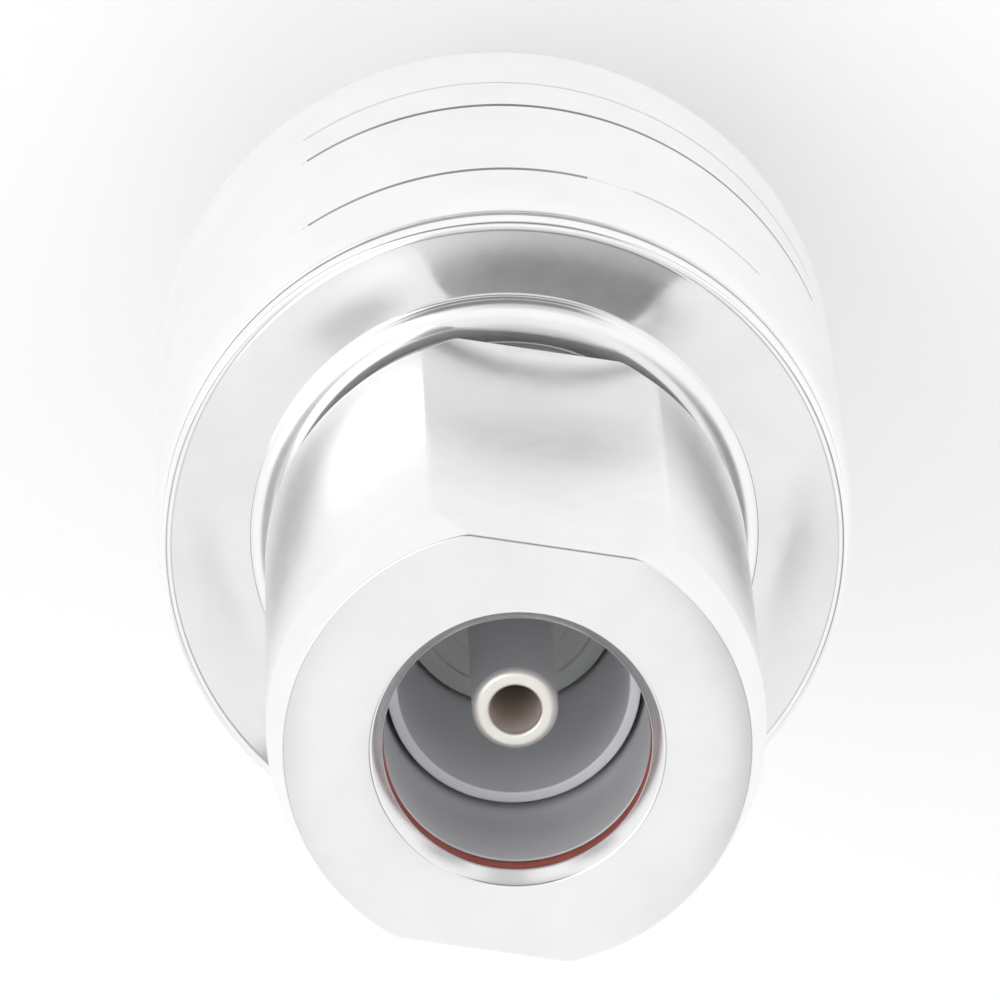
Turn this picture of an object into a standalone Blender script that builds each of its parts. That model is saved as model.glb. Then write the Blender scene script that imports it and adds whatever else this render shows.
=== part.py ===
"""Coaxial lightning arrestor: a drum-shaped body with a coupling nut at the front, round with
two wrench flats, and a threaded bulkhead jack at the rear. Metres, +Z up, standing on the rear port's face."""

import math

import bmesh
import bpy
from mathutils import Matrix, Vector

MM = 0.001

# Coupling nut
NUT_DIA = 17.5 * MM
NUT_ACROSS_FLATS = 15.3 * MM
NUT_LENGTH = 20.4 * MM
NUT_CHAMFER = 0.55 * MM
NUT_CHAMFER_LENGTH = 2.0 * MM
NUT_TURN = math.radians(-10)
NUT_BORE_DIA = 9.4 * MM
NUT_BORE_DEPTH = 9.0 * MM
NUT_REAR_BORE_DIA = 10.8 * MM
NUT_SINK = 0.1 * MM
MOUTH_DIA = 10.25 * MM
MOUTH_CHAMFER_DEPTH = 0.5 * MM

# Gasket in the nut's mouth
MOUTH_GASKET_DEPTH = 0.75 * MM
MOUTH_GASKET_WIDTH = 0.55 * MM
MOUTH_GASKET_RADIAL = 0.6 * MM
MOUTH_GASKET_PROUD = 0.08 * MM

# Split ring that holds the nut on the barrel
RETAINER_DEPTH = 12.8 * MM
RETAINER_THICKNESS = 0.55 * MM
RETAINER_RADIAL = 1.0 * MM
RETAINER_SPLIT = 2.2 * MM
BARREL_GROOVE_DEPTH = 0.5 * MM

# Front barrel and its dished flange
TUBE_DIA = 9.0 * MM
TUBE_BORE_DIA = 8.2 * MM
TUBE_RIM_DEPTH = 6.3 * MM
BARREL_CLEARANCE = 0.2 * MM
FLANGE_INSET = 0.25 * MM
FLANGE_RIM_THICKNESS = 0.9 * MM
FLANGE_EDGE_RADIUS = 0.2 * MM
FLANGE_LAND = 0.15 * MM
BEAD_INNER_DIA = 14.8 * MM
BEAD_OUTER_DIA = 18.6 * MM
BEAD_HEIGHT = 0.45 * MM
BEAD_CLEARANCE = 0.5 * MM
DISH_SAG = 0.1 * MM
POCKET_DEPTH = 1.0 * MM
SPIGOT_LENGTH = 3.4 * MM
WEB_BORE_DIA = 6.4 * MM

# Drum housing
DRUM_DIA = 25.5 * MM
DRUM_LENGTH = 18.9 * MM
DRUM_MOUTH_WALL = 1.0 * MM
SHOULDER_HEIGHT = 1.7 * MM
SHOULDER_STEP = 0.3 * MM
DRUM_REAR_RADIUS = 1.3 * MM
REAR_WALL = 3.0 * MM
CAVITY_DIA = 16.0 * MM

# Centre line: contacts, conductor and insulators
CONTACT_DIA = 3.04 * MM
CONTACT_HOLE_DIA = 1.8 * MM
CONTACT_HOLE_DEPTH = 6.0 * MM
CONTACT_LIP = 0.25 * MM
FRONT_CONTACT_DEPTH = 3.8 * MM
REAR_CONTACT_DEPTH = 5.0 * MM
CONTACT_SLOT = 0.3 * MM
CONTACT_SLOT_DEPTH = 4.5 * MM
INSULATOR_DEPTH = 14.6 * MM
INSULATOR_LENGTH = 4.2 * MM
CONDUCTOR_DIA = 3.0 * MM
CONDUCTOR_BOSS_DIA = 5.4 * MM
CONDUCTOR_BOSS_LENGTH = 8.6 * MM

# Gas tube and its screwed cap, on the drum's +Y side
GAS_TUBE_DIA = 8.0 * MM
GAS_TUBE_GROOVE = 0.35 * MM
GAS_ELECTRODE_LENGTH = 0.9 * MM
GAS_SPRING_HEIGHT = 1.25 * MM
GAS_SPRING_WIRE = 0.35 * MM
GAS_SPRING_DIA = 5.6 * MM
GAS_SPRING_TURNS = 2
CAP_DIA = 9.7 * MM
CAP_LENGTH = 2.45 * MM
CAP_EDGE = 0.25 * MM
CAP_SLOT_WIDTH = 1.2 * MM
CAP_SLOT_DEPTH = 0.9 * MM
CAP_SET_IN = 0.15 * MM

# Seal rings
SEAL_RADIAL = 0.75 * MM
SEAL_WIDTH = 0.8 * MM

# Ground screw
GROUND_ANGLE = math.radians(45)
GROUND_SCREW_DIA = 2.5 * MM
GROUND_SCREW_LENGTH = 3.6 * MM
GROUND_HEAD_DIA = 4.5 * MM
GROUND_HEAD_HEIGHT = 1.4 * MM
GROUND_HEAD_EDGE = 0.35 * MM
GROUND_SLOT_WIDTH = 0.65 * MM
GROUND_SLOT_DEPTH = 0.6 * MM
GROUND_FACE_DIA = 5.6 * MM
GROUND_FACE_SINK = 0.6 * MM
GROUND_WASHER_DIA = 4.6 * MM
GROUND_WASHER_THICKNESS = 0.6 * MM
GROUND_WASHER_SPLIT = 0.5 * MM

# Rear port and its bulkhead hardware
REAR_PORT_LENGTH = 12.5 * MM
REAR_THREAD_DIA = 15.88 * MM
REAR_THREAD_PITCH = 1.058 * MM
REAR_THREAD_DEPTH = 0.5 * MM
REAR_THREAD_END = 1.2 * MM
REAR_BORE_DIA = 8.1 * MM
REAR_BORE_DEPTH = 9.5 * MM
REAR_MOUTH_DIA = 9.0 * MM
PORT_EDGE = 0.5 * MM
REAR_SPIGOT_DIA = 12.0 * MM
PANEL_GASKET_DIA = 21.5 * MM
PANEL_GASKET_THICKNESS = 1.5 * MM
LOCK_WASHER_DIA = 20.6 * MM
LOCK_WASHER_THICKNESS = 0.8 * MM
LOCK_WASHER_TEETH = 12
LOCK_WASHER_TOOTH_DEPTH = 1.1 * MM
PANEL_NUT_ACROSS_FLATS = 19.0 * MM
PANEL_NUT_THICKNESS = 3.5 * MM
PANEL_NUT_FACE_DIA = 18.6 * MM
PANEL_NUT_CHAMFER_ANGLE = math.radians(30)

# Gap that any two pieces keep, and how far a cutter runs past what it cuts
GAP = 0.15 * MM
OVERCUT = 1.0 * MM

# How finely round shapes are cut
WIDE_SEGMENTS = 64
ROUND_SEGMENTS = 48
SMALL_SEGMENTS = 32
ARC_STEPS = 6
SMOOTH_ANGLE = math.radians(32)

# Heights along the axis, from the rear port's face up
z_drum_rear = REAR_PORT_LENGTH
z_drum_front = z_drum_rear + DRUM_LENGTH
z_flange_back = z_drum_front + GAP
z_flange_front = z_flange_back + FLANGE_RIM_THICKNESS
z_nut_rear = z_flange_front - NUT_SINK
z_face = z_nut_rear + NUT_LENGTH
z_tube_rim = z_face - TUBE_RIM_DEPTH
z_nut_step = z_face - NUT_BORE_DEPTH
z_barrel_step = z_nut_step - 2 * GAP
z_retainer = z_face - RETAINER_DEPTH
z_front_insulator = z_face - INSULATOR_DEPTH
z_front_web = z_front_insulator - INSULATOR_LENGTH - GAP
z_front_tip = z_face - FRONT_CONTACT_DEPTH
z_spigot_end = z_flange_back - SPIGOT_LENGTH
z_cavity_rear = z_drum_rear + REAR_WALL
z_rear_web = REAR_BORE_DEPTH + INSULATOR_LENGTH + GAP
z_contact_back_front = z_front_web + GAP
z_contact_back_rear = z_rear_web - GAP
z_middle = (z_cavity_rear + z_spigot_end) / 2

barrel_radius = NUT_REAR_BORE_DIA / 2 - BARREL_CLEARANCE
drum_radius = DRUM_DIA / 2
flange_radius = drum_radius - FLANGE_INSET
spigot_radius = drum_radius - DRUM_MOUTH_WALL - GAP
contact_clear = CONTACT_DIA / 2 + GAP
cap_bore_radius = CAP_DIA / 2 + GAP
cap_end = drum_radius - CAP_SET_IN
cap_start = cap_end - CAP_LENGTH
spring_start = cap_start - GAP - GAS_SPRING_HEIGHT
gas_end = spring_start - GAP
gas_start = CONDUCTOR_BOSS_DIA / 2 + GAP

Y_OUT = Matrix.Rotation(math.radians(-90), 4, "X")

for old in list(bpy.data.objects):
    bpy.data.objects.remove(old, do_unlink=True)

parts = bpy.data.collections.new("coax_lightning_arrestor")
cutters = bpy.data.collections.new("cutters")
for group in (parts, cutters):
    bpy.context.scene.collection.children.link(group)


def material(name, colour, roughness, metallic):
    """A Principled material with one colour."""
    made = bpy.data.materials.new(name)
    made.use_nodes = True
    shader = made.node_tree.nodes["Principled BSDF"]
    shader.inputs["Base Color"].default_value = (*colour, 1.0)
    shader.inputs["Roughness"].default_value = roughness
    shader.inputs["Metallic"].default_value = metallic
    return made


POLISHED = material("polished_nickel", (0.86, 0.86, 0.85), 0.08, 1.0)
SATIN = material("satin_nickel", (0.80, 0.80, 0.79), 0.30, 1.0)
STEEL = material("plated_steel", (0.66, 0.66, 0.65), 0.28, 1.0)
GOLD = material("gold_plate", (0.83, 0.66, 0.36), 0.20, 1.0)
SPRING_STEEL = material("spring_steel", (0.48, 0.47, 0.45), 0.30, 1.0)
WHITE_RESIN = material("white_fluoropolymer", (0.88, 0.88, 0.86), 0.45, 0.0)
RED_RUBBER = material("red_silicone", (0.62, 0.13, 0.06), 0.50, 0.0)
BLACK_RUBBER = material("black_rubber", (0.03, 0.03, 0.03), 0.60, 0.0)
CERAMIC = material("white_ceramic", (0.85, 0.84, 0.80), 0.35, 0.0)


def place(name, mesh, look, group=None):
    """An object made from a mesh, in the parts or among the cutters."""
    obj = bpy.data.objects.new(name, mesh)
    (group or parts).objects.link(obj)
    if look is not None:
        mesh.materials.append(look)
    return obj


def cutter(name, mesh):
    """A hidden object that only cuts."""
    obj = place(name, mesh, None, cutters)
    obj.hide_render = True
    obj.display_type = "WIRE"
    return obj


def profile_mesh(name, profile, closed):
    """The edges of a profile in the XZ plane, listed down its outer side first."""
    mesh = bpy.data.meshes.new(name)
    count = len(profile)
    edges = [(i, i + 1) for i in range(count - 1)]
    if closed:
        edges.append((count - 1, 0))
    mesh.from_pydata([(r, 0.0, z) for r, z in profile], edges, [])
    return mesh


def spin(obj, segments):
    """Turns an object's profile round its Z axis."""
    screw = obj.modifiers.new("turn", "SCREW")
    screw.steps = segments
    screw.render_steps = segments
    screw.use_merge_vertices = True
    screw.merge_threshold = 0.00001
    return obj


def turned(name, profile, segments, look):
    """A turned piece: a closed profile for a ring, or an open one whose ends are on the axis."""
    closed = profile[0][0] > 0
    return spin(place(name, profile_mesh(name, profile, closed), look), segments)


def turned_cutter(name, profile, segments):
    closed = profile[0][0] > 0
    return spin(cutter(name, profile_mesh(name, profile, closed)), segments)


def box_cutter(name, size, matrix):
    """A box cutter, centred on its matrix's origin."""
    mesh = bpy.data.meshes.new(name)
    shape = bmesh.new()
    bmesh.ops.create_cube(shape, size=1.0)
    bmesh.ops.scale(shape, vec=Vector(size), verts=shape.verts)
    shape.to_mesh(mesh)
    shape.free()
    obj = cutter(name, mesh)
    obj.matrix_world = matrix
    return obj


def combine(obj, other, operation):
    """Cuts or keeps what another object covers."""
    modifier = obj.modifiers.new(other.name, "BOOLEAN")
    modifier.operation = operation
    modifier.object = other
    modifier.solver = "EXACT"


def cut(obj, *others):
    for other in others:
        combine(obj, other, "DIFFERENCE")


def arc(centre, radius, start, end, steps=ARC_STEPS):
    """Points on an arc in a profile, with angles from +X towards +Z, ends included."""
    points = []
    for i in range(steps + 1):
        angle = start + (end - start) * i / steps
        points.append(
            (
                centre[0] + radius * math.cos(angle),
                centre[1] + radius * math.sin(angle),
            )
        )
    return points


def hollow(start, end, sag, steps=ARC_STEPS):
    """Points of a shallow curve between two profile points, sagging most in the middle."""
    points = []
    for i in range(1, steps):
        t = i / steps
        points.append(
            (
                start[0] + (end[0] - start[0]) * t,
                start[1] + (end[1] - start[1]) * t - sag * math.sin(math.pi * t),
            )
        )
    return points


def groove(radius, depth, top, width):
    """The four points of a square groove in an outer wall, going down."""
    return [
        (radius, top),
        (radius - depth, top),
        (radius - depth, top - width),
        (radius, top - width),
    ]


def ring_profile(inner, outer, bottom, top):
    return [(outer, top), (outer, bottom), (inner, bottom), (inner, top)]


def hexagon(name, across_flats, bottom, top, look):
    """A hexagonal prism on the Z axis, with a flat facing -Y."""
    mesh = bpy.data.meshes.new(name)
    shape = bmesh.new()
    radius = across_flats / 2 / math.cos(math.pi / 6)
    bmesh.ops.create_cone(
        shape,
        cap_ends=True,
        segments=6,
        radius1=radius,
        radius2=radius,
        depth=top - bottom,
    )
    lift = Matrix.Translation((0, 0, (top + bottom) / 2))
    # The primitive has a corner on +Y, so a twelfth of a turn puts a flat on -Y.
    facing = Matrix.Rotation(math.pi / 6, 4, "Z")
    bmesh.ops.transform(shape, matrix=lift @ facing, verts=shape.verts)
    shape.to_mesh(mesh)
    shape.free()
    return place(name, mesh, look)


def chamfered_blank(name, across_flats, face_dia, bottom, top, angle):
    """The turned outline of a nut: wider than its corners, with both ends chamfered."""
    wide = across_flats / 2 / math.cos(math.pi / 6) + OVERCUT
    drop = (wide - face_dia / 2) * math.tan(angle)
    profile = [
        (0, top),
        (face_dia / 2, top),
        (wide, top - drop),
        (wide, bottom + drop),
        (face_dia / 2, bottom),
        (0, bottom),
    ]
    return turned_cutter(name, profile, ROUND_SEGMENTS)


# Coupling nut, on its own axis empty so that it turns on the barrel
nut_axis = bpy.data.objects.new("coupling_nut_axis", None)
parts.objects.link(nut_axis)

gasket_groove_radius = NUT_BORE_DIA / 2 - MOUTH_GASKET_PROUD + MOUTH_GASKET_RADIAL + GAP
gasket_top = z_face - MOUTH_GASKET_DEPTH
gasket_bottom = gasket_top - MOUTH_GASKET_WIDTH
retainer_inner = barrel_radius - BARREL_GROOVE_DEPTH + GAP
retainer_outer = retainer_inner + RETAINER_RADIAL
nut_groove_radius = retainer_outer + GAP
retainer_top = z_retainer + RETAINER_THICKNESS / 2
retainer_bottom = z_retainer - RETAINER_THICKNESS / 2
nut_radius = NUT_DIA / 2
coupling_nut = turned(
    "coupling_nut",
    [
        (nut_radius - NUT_CHAMFER, z_face),
        (nut_radius, z_face - NUT_CHAMFER_LENGTH),
        (nut_radius, z_nut_rear + NUT_CHAMFER_LENGTH),
        (nut_radius - NUT_CHAMFER, z_nut_rear),
        (NUT_REAR_BORE_DIA / 2, z_nut_rear),
        (NUT_REAR_BORE_DIA / 2, retainer_bottom - GAP),
        (nut_groove_radius, retainer_bottom - GAP),
        (nut_groove_radius, retainer_top + GAP),
        (NUT_REAR_BORE_DIA / 2, retainer_top + GAP),
        (NUT_REAR_BORE_DIA / 2, z_nut_step),
        (NUT_BORE_DIA / 2, z_nut_step),
        (NUT_BORE_DIA / 2, gasket_bottom - GAP),
        (gasket_groove_radius, gasket_bottom - GAP),
        (gasket_groove_radius, gasket_top + GAP),
        (NUT_BORE_DIA / 2, gasket_top + GAP),
        (NUT_BORE_DIA / 2, z_face - MOUTH_CHAMFER_DEPTH),
        (MOUTH_DIA / 2, z_face),
    ],
    WIDE_SEGMENTS,
    POLISHED,
)
for i in range(2):
    flat = box_cutter(
        f"wrench_flat_{i + 1}",
        (NUT_DIA + OVERCUT, NUT_DIA, NUT_LENGTH + 2 * OVERCUT),
        Matrix.Rotation(NUT_TURN + i * math.pi, 4, "Z")
        @ Matrix.Translation(
            (0, -(NUT_ACROSS_FLATS + NUT_DIA) / 2, (z_face + z_nut_rear) / 2)
        ),
    )
    cut(coupling_nut, flat)

mouth_gasket = turned(
    "mouth_gasket",
    ring_profile(
        gasket_groove_radius - GAP - MOUTH_GASKET_RADIAL,
        gasket_groove_radius - GAP,
        gasket_bottom,
        gasket_top,
    ),
    ROUND_SEGMENTS,
    RED_RUBBER,
)
for turning in (coupling_nut, mouth_gasket):
    turning.parent = nut_axis

nut_retaining_ring = turned(
    "nut_retaining_ring",
    ring_profile(retainer_inner, retainer_outer, retainer_bottom, retainer_top),
    ROUND_SEGMENTS,
    SPRING_STEEL,
)
cut(
    nut_retaining_ring,
    box_cutter(
        "retainer_split",
        (RETAINER_SPLIT, retainer_outer + OVERCUT, RETAINER_THICKNESS + OVERCUT),
        Matrix.Translation((0, (retainer_outer + OVERCUT) / 2, z_retainer)),
    ),
)

# Front barrel, from its thin tube down past the dished flange to the spigot in the drum
z_bead_crest = z_nut_rear - BEAD_CLEARANCE
z_bead_foot = z_bead_crest - BEAD_HEIGHT
z_pocket = z_bead_crest - POCKET_DEPTH
bead_middle = (BEAD_INNER_DIA + BEAD_OUTER_DIA) / 4
bead_half = (BEAD_OUTER_DIA - BEAD_INNER_DIA) / 4
bead = []
for i in range(ARC_STEPS + 1):
    angle = math.pi * i / ARC_STEPS
    bead.append(
        (
            bead_middle - bead_half * math.cos(angle),
            z_bead_foot + BEAD_HEIGHT * math.sin(angle),
        )
    )
land_inner = (flange_radius - FLANGE_EDGE_RADIUS - FLANGE_LAND, z_flange_front)
dish = hollow(bead[-1], land_inner, DISH_SAG)
flange_edge = arc(
    (flange_radius - FLANGE_EDGE_RADIUS, z_flange_front - FLANGE_EDGE_RADIUS),
    FLANGE_EDGE_RADIUS,
    math.pi / 2,
    0,
    3,
)
seal_depth = SEAL_RADIAL + GAP
front_seal_top = z_flange_back - (SPIGOT_LENGTH - SEAL_WIDTH) / 2
front_barrel = turned(
    "front_barrel",
    [
        (TUBE_DIA / 2, z_tube_rim),
        (TUBE_DIA / 2, z_barrel_step),
        (barrel_radius, z_barrel_step),
        *groove(
            barrel_radius,
            BARREL_GROOVE_DEPTH,
            retainer_top + GAP,
            RETAINER_THICKNESS + 2 * GAP,
        ),
        (barrel_radius, z_pocket),
        (BEAD_INNER_DIA / 2, z_pocket),
        *bead,
        *dish,
        land_inner,
        *flange_edge,
        (flange_radius, z_flange_back),
        (spigot_radius, z_flange_back),
        *groove(
            spigot_radius,
            seal_depth,
            front_seal_top + GAP,
            SEAL_WIDTH + 2 * GAP,
        ),
        (spigot_radius, z_spigot_end),
        (WEB_BORE_DIA / 2, z_spigot_end),
        (WEB_BORE_DIA / 2, z_front_web),
        (TUBE_BORE_DIA / 2, z_front_web),
        (TUBE_BORE_DIA / 2, z_tube_rim),
    ],
    ROUND_SEGMENTS,
    POLISHED,
)

front_seal_ring = turned(
    "front_seal_ring",
    ring_profile(
        spigot_radius - SEAL_RADIAL,
        spigot_radius,
        front_seal_top - SEAL_WIDTH,
        front_seal_top,
    ),
    ROUND_SEGMENTS,
    BLACK_RUBBER,
)


def insulator(name, bore_dia, bottom):
    """A bead of insulation round a contact, filling a barrel's bore."""
    return turned(
        name,
        ring_profile(
            contact_clear, bore_dia / 2 - GAP, bottom, bottom + INSULATOR_LENGTH
        ),
        SMALL_SEGMENTS,
        WHITE_RESIN,
    )


front_insulator = insulator(
    "front_insulator", TUBE_BORE_DIA, z_front_insulator - INSULATOR_LENGTH
)
rear_insulator = insulator("rear_insulator", REAR_BORE_DIA, REAR_BORE_DEPTH)


def contact(name, length):
    """A round contact along +Z, with a hole down from its tip at the given length."""
    radius = CONTACT_DIA / 2
    hole = CONTACT_HOLE_DIA / 2
    profile = [
        (0, length - CONTACT_HOLE_DEPTH),
        (hole, length - CONTACT_HOLE_DEPTH),
        (hole, length - CONTACT_LIP / 2),
        (hole + CONTACT_LIP / 2, length),
        (radius - CONTACT_LIP, length),
        (radius, length - CONTACT_LIP),
        (radius, 0),
        (0, 0),
    ]
    return turned(name, profile, SMALL_SEGMENTS, GOLD)


front_length = z_front_tip - z_contact_back_front
socket_contact = contact("socket_contact", front_length)
socket_contact.location.z = z_contact_back_front

rear_length = z_contact_back_rear - REAR_CONTACT_DEPTH
rear_contact = contact("rear_contact", rear_length)
rear_contact.matrix_world = Matrix.Translation(
    (0, 0, z_contact_back_rear)
) @ Matrix.Rotation(math.pi, 4, "X")
for i in range(2):
    slot = box_cutter(
        f"contact_slot_{i + 1}",
        (CONTACT_DIA + OVERCUT, CONTACT_SLOT, CONTACT_SLOT_DEPTH + OVERCUT),
        Matrix.Translation(
            (0, 0, REAR_CONTACT_DEPTH + (CONTACT_SLOT_DEPTH - OVERCUT) / 2)
        )
        @ Matrix.Rotation(math.pi / 4 + i * math.pi / 2, 4, "Z"),
    )
    cut(rear_contact, slot)

# Inner conductor, end to end between the contacts, with the boss that the gas tube meets
conductor_top = z_contact_back_front - GAP
conductor_bottom = z_contact_back_rear + GAP
boss_top = z_middle + CONDUCTOR_BOSS_LENGTH / 2
boss_bottom = z_middle - CONDUCTOR_BOSS_LENGTH / 2
inner_conductor = turned(
    "inner_conductor",
    [
        (0, conductor_top),
        (CONDUCTOR_DIA / 2, conductor_top),
        (CONDUCTOR_DIA / 2, boss_top),
        (CONDUCTOR_BOSS_DIA / 2, boss_top),
        (CONDUCTOR_BOSS_DIA / 2, boss_bottom),
        (CONDUCTOR_DIA / 2, boss_bottom),
        (CONDUCTOR_DIA / 2, conductor_bottom),
        (0, conductor_bottom),
    ],
    SMALL_SEGMENTS,
    GOLD,
)

# Drum housing: shoulder, plain side and rounded rear edge outside, one round cavity inside
shoulder = []
for i in range(ARC_STEPS + 1):
    angle = math.pi / 2 * i / ARC_STEPS
    shoulder.append(
        (
            drum_radius - SHOULDER_STEP * (1 - math.sin(angle)),
            z_drum_front - SHOULDER_HEIGHT * (1 - math.cos(angle)),
        )
    )
rear_edge = arc(
    (drum_radius - DRUM_REAR_RADIUS, z_drum_rear + DRUM_REAR_RADIUS),
    DRUM_REAR_RADIUS,
    0,
    -math.pi / 2,
    5,
)
drum_housing = turned(
    "drum_housing",
    [
        *shoulder,
        *rear_edge,
        (REAR_SPIGOT_DIA / 2, z_drum_rear),
        (REAR_SPIGOT_DIA / 2, z_cavity_rear),
        (CAVITY_DIA / 2, z_cavity_rear),
        (CAVITY_DIA / 2, z_spigot_end - GAP),
        (spigot_radius + GAP, z_spigot_end - GAP),
        (spigot_radius + GAP, z_drum_front),
    ],
    WIDE_SEGMENTS,
    SATIN,
)
# The gas tube's bore opens outward into the wider bore that the cap screws into.
gas_bore = turned_cutter(
    "gas_bore",
    [
        (0, drum_radius + OVERCUT),
        (cap_bore_radius, drum_radius + OVERCUT),
        (cap_bore_radius, cap_start - GAP),
        (GAS_TUBE_DIA / 2 + GAP, cap_start - GAP),
        (GAS_TUBE_DIA / 2 + GAP, CONDUCTOR_BOSS_DIA / 2),
        (0, CONDUCTOR_BOSS_DIA / 2),
    ],
    SMALL_SEGMENTS,
)
gas_bore.matrix_world = Matrix.Translation((0, 0, z_middle)) @ Y_OUT
cut(drum_housing, gas_bore)

ground_out = (
    Matrix.Translation((0, 0, z_middle)) @ Matrix.Rotation(GROUND_ANGLE, 4, "Z") @ Y_OUT
)
ground_face = drum_radius - GROUND_FACE_SINK
ground_hole = turned_cutter(
    "ground_hole",
    [
        (0, drum_radius + OVERCUT),
        (GROUND_FACE_DIA / 2, drum_radius + OVERCUT),
        (GROUND_FACE_DIA / 2, ground_face),
        (GROUND_SCREW_DIA / 2 + GAP, ground_face),
        (
            GROUND_SCREW_DIA / 2 + GAP,
            ground_face + GAP + GROUND_WASHER_THICKNESS - GROUND_SCREW_LENGTH,
        ),
        (0, ground_face + GAP + GROUND_WASHER_THICKNESS - GROUND_SCREW_LENGTH),
    ],
    SMALL_SEGMENTS,
)
ground_hole.matrix_world = ground_out
cut(drum_housing, ground_hole)

# Gas tube: one sealed body, a ceramic barrel between two electrodes marked by grooves
half_tube = GAS_TUBE_DIA / 2
gas_tube = turned(
    "gas_tube",
    [
        (0, gas_end),
        (half_tube - GAS_TUBE_GROOVE, gas_end),
        (half_tube - GAS_TUBE_GROOVE, gas_end - GAS_ELECTRODE_LENGTH),
        (half_tube, gas_end - GAS_ELECTRODE_LENGTH),
        (half_tube, gas_start + GAS_ELECTRODE_LENGTH),
        (half_tube - GAS_TUBE_GROOVE, gas_start + GAS_ELECTRODE_LENGTH),
        (half_tube - GAS_TUBE_GROOVE, gas_start),
        (0, gas_start),
    ],
    SMALL_SEGMENTS,
    CERAMIC,
)

coil = bpy.data.curves.new("gas_tube_spring", "CURVE")
coil.dimensions = "3D"
coil.bevel_depth = GAS_SPRING_WIRE / 2
coil.bevel_resolution = 2
coil.use_fill_caps = True
coil_steps = 16
path = coil.splines.new("POLY")
path.points.add(GAS_SPRING_TURNS * coil_steps)
coil_rise = GAS_SPRING_HEIGHT - GAS_SPRING_WIRE
for i, point in enumerate(path.points):
    share = i / (len(path.points) - 1)
    angle = 2 * math.pi * GAS_SPRING_TURNS * share
    point.co = (
        (GAS_SPRING_DIA - GAS_SPRING_WIRE) / 2 * math.cos(angle),
        (GAS_SPRING_DIA - GAS_SPRING_WIRE) / 2 * math.sin(angle),
        spring_start + GAS_SPRING_WIRE / 2 + coil_rise * share,
        1,
    )
gas_tube_spring = bpy.data.objects.new("gas_tube_spring", coil)
coil.materials.append(SPRING_STEEL)
parts.objects.link(gas_tube_spring)

cap_radius = CAP_DIA / 2
cap_seal_top = cap_start + SEAL_WIDTH + 3 * GAP
gas_tube_cap = turned(
    "gas_tube_cap",
    [
        (0, cap_end),
        (cap_radius - CAP_EDGE, cap_end),
        (cap_radius, cap_end - CAP_EDGE),
        *groove(cap_radius, seal_depth, cap_seal_top + GAP, SEAL_WIDTH + 2 * GAP),
        (cap_radius, cap_start),
        (0, cap_start),
    ],
    SMALL_SEGMENTS,
    STEEL,
)
cap_slot = box_cutter(
    "cap_slot",
    (CAP_DIA + OVERCUT, CAP_SLOT_WIDTH, CAP_SLOT_DEPTH + OVERCUT),
    Matrix.Translation((0, 0, z_middle))
    @ Y_OUT
    @ Matrix.Translation((0, 0, cap_end - CAP_SLOT_DEPTH + (CAP_SLOT_DEPTH + OVERCUT) / 2)),
)
cut(gas_tube_cap, cap_slot)
cap_seal_ring = turned(
    "cap_seal_ring",
    ring_profile(
        cap_radius - SEAL_RADIAL, cap_radius, cap_seal_top - SEAL_WIDTH, cap_seal_top
    ),
    SMALL_SEGMENTS,
    BLACK_RUBBER,
)
for radial in (gas_tube, gas_tube_spring, gas_tube_cap, cap_seal_ring):
    radial.matrix_world = Matrix.Translation((0, 0, z_middle)) @ Y_OUT

# Ground screw and its split washer, on a spot face beside the cap
washer_base = ground_face + GAP
head_base = washer_base + GROUND_WASHER_THICKNESS + GAP
ground_lock_washer = turned(
    "ground_lock_washer",
    ring_profile(
        GROUND_SCREW_DIA / 2 + GAP,
        GROUND_WASHER_DIA / 2,
        washer_base,
        washer_base + GROUND_WASHER_THICKNESS,
    ),
    SMALL_SEGMENTS,
    SPRING_STEEL,
)
washer_split = box_cutter(
    "washer_split",
    (GROUND_WASHER_SPLIT, GROUND_WASHER_DIA, GROUND_WASHER_THICKNESS + OVERCUT),
    ground_out
    @ Matrix.Translation(
        (0, GROUND_WASHER_DIA / 2, washer_base + GROUND_WASHER_THICKNESS / 2)
    ),
)
cut(ground_lock_washer, washer_split)

head_top = head_base + GROUND_HEAD_HEIGHT
ground_screw = turned(
    "ground_screw",
    [
        (0, head_top),
        (GROUND_HEAD_DIA / 2 - GROUND_HEAD_EDGE, head_top),
        (GROUND_HEAD_DIA / 2, head_top - GROUND_HEAD_EDGE),
        (GROUND_HEAD_DIA / 2, head_base),
        (GROUND_SCREW_DIA / 2, head_base),
        (GROUND_SCREW_DIA / 2, head_base - GROUND_SCREW_LENGTH + GAP),
        (0, head_base - GROUND_SCREW_LENGTH + GAP),
    ],
    SMALL_SEGMENTS,
    STEEL,
)
screw_slot = box_cutter(
    "screw_slot",
    (GROUND_HEAD_DIA + OVERCUT, GROUND_SLOT_WIDTH, GROUND_SLOT_DEPTH + OVERCUT),
    ground_out
    @ Matrix.Translation(
        (0, 0, head_top - GROUND_SLOT_DEPTH + (GROUND_SLOT_DEPTH + OVERCUT) / 2)
    ),
)
cut(ground_screw, screw_slot)
for radial in (ground_lock_washer, ground_screw):
    radial.matrix_world = ground_out

# Rear barrel: the threaded port below, its spigot in the drum's rear wall above
thread_radius = REAR_THREAD_DIA / 2
rear_spigot_radius = REAR_SPIGOT_DIA / 2 - GAP
rear_seal_top = z_drum_rear + (REAR_WALL + SEAL_WIDTH) / 2
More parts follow.
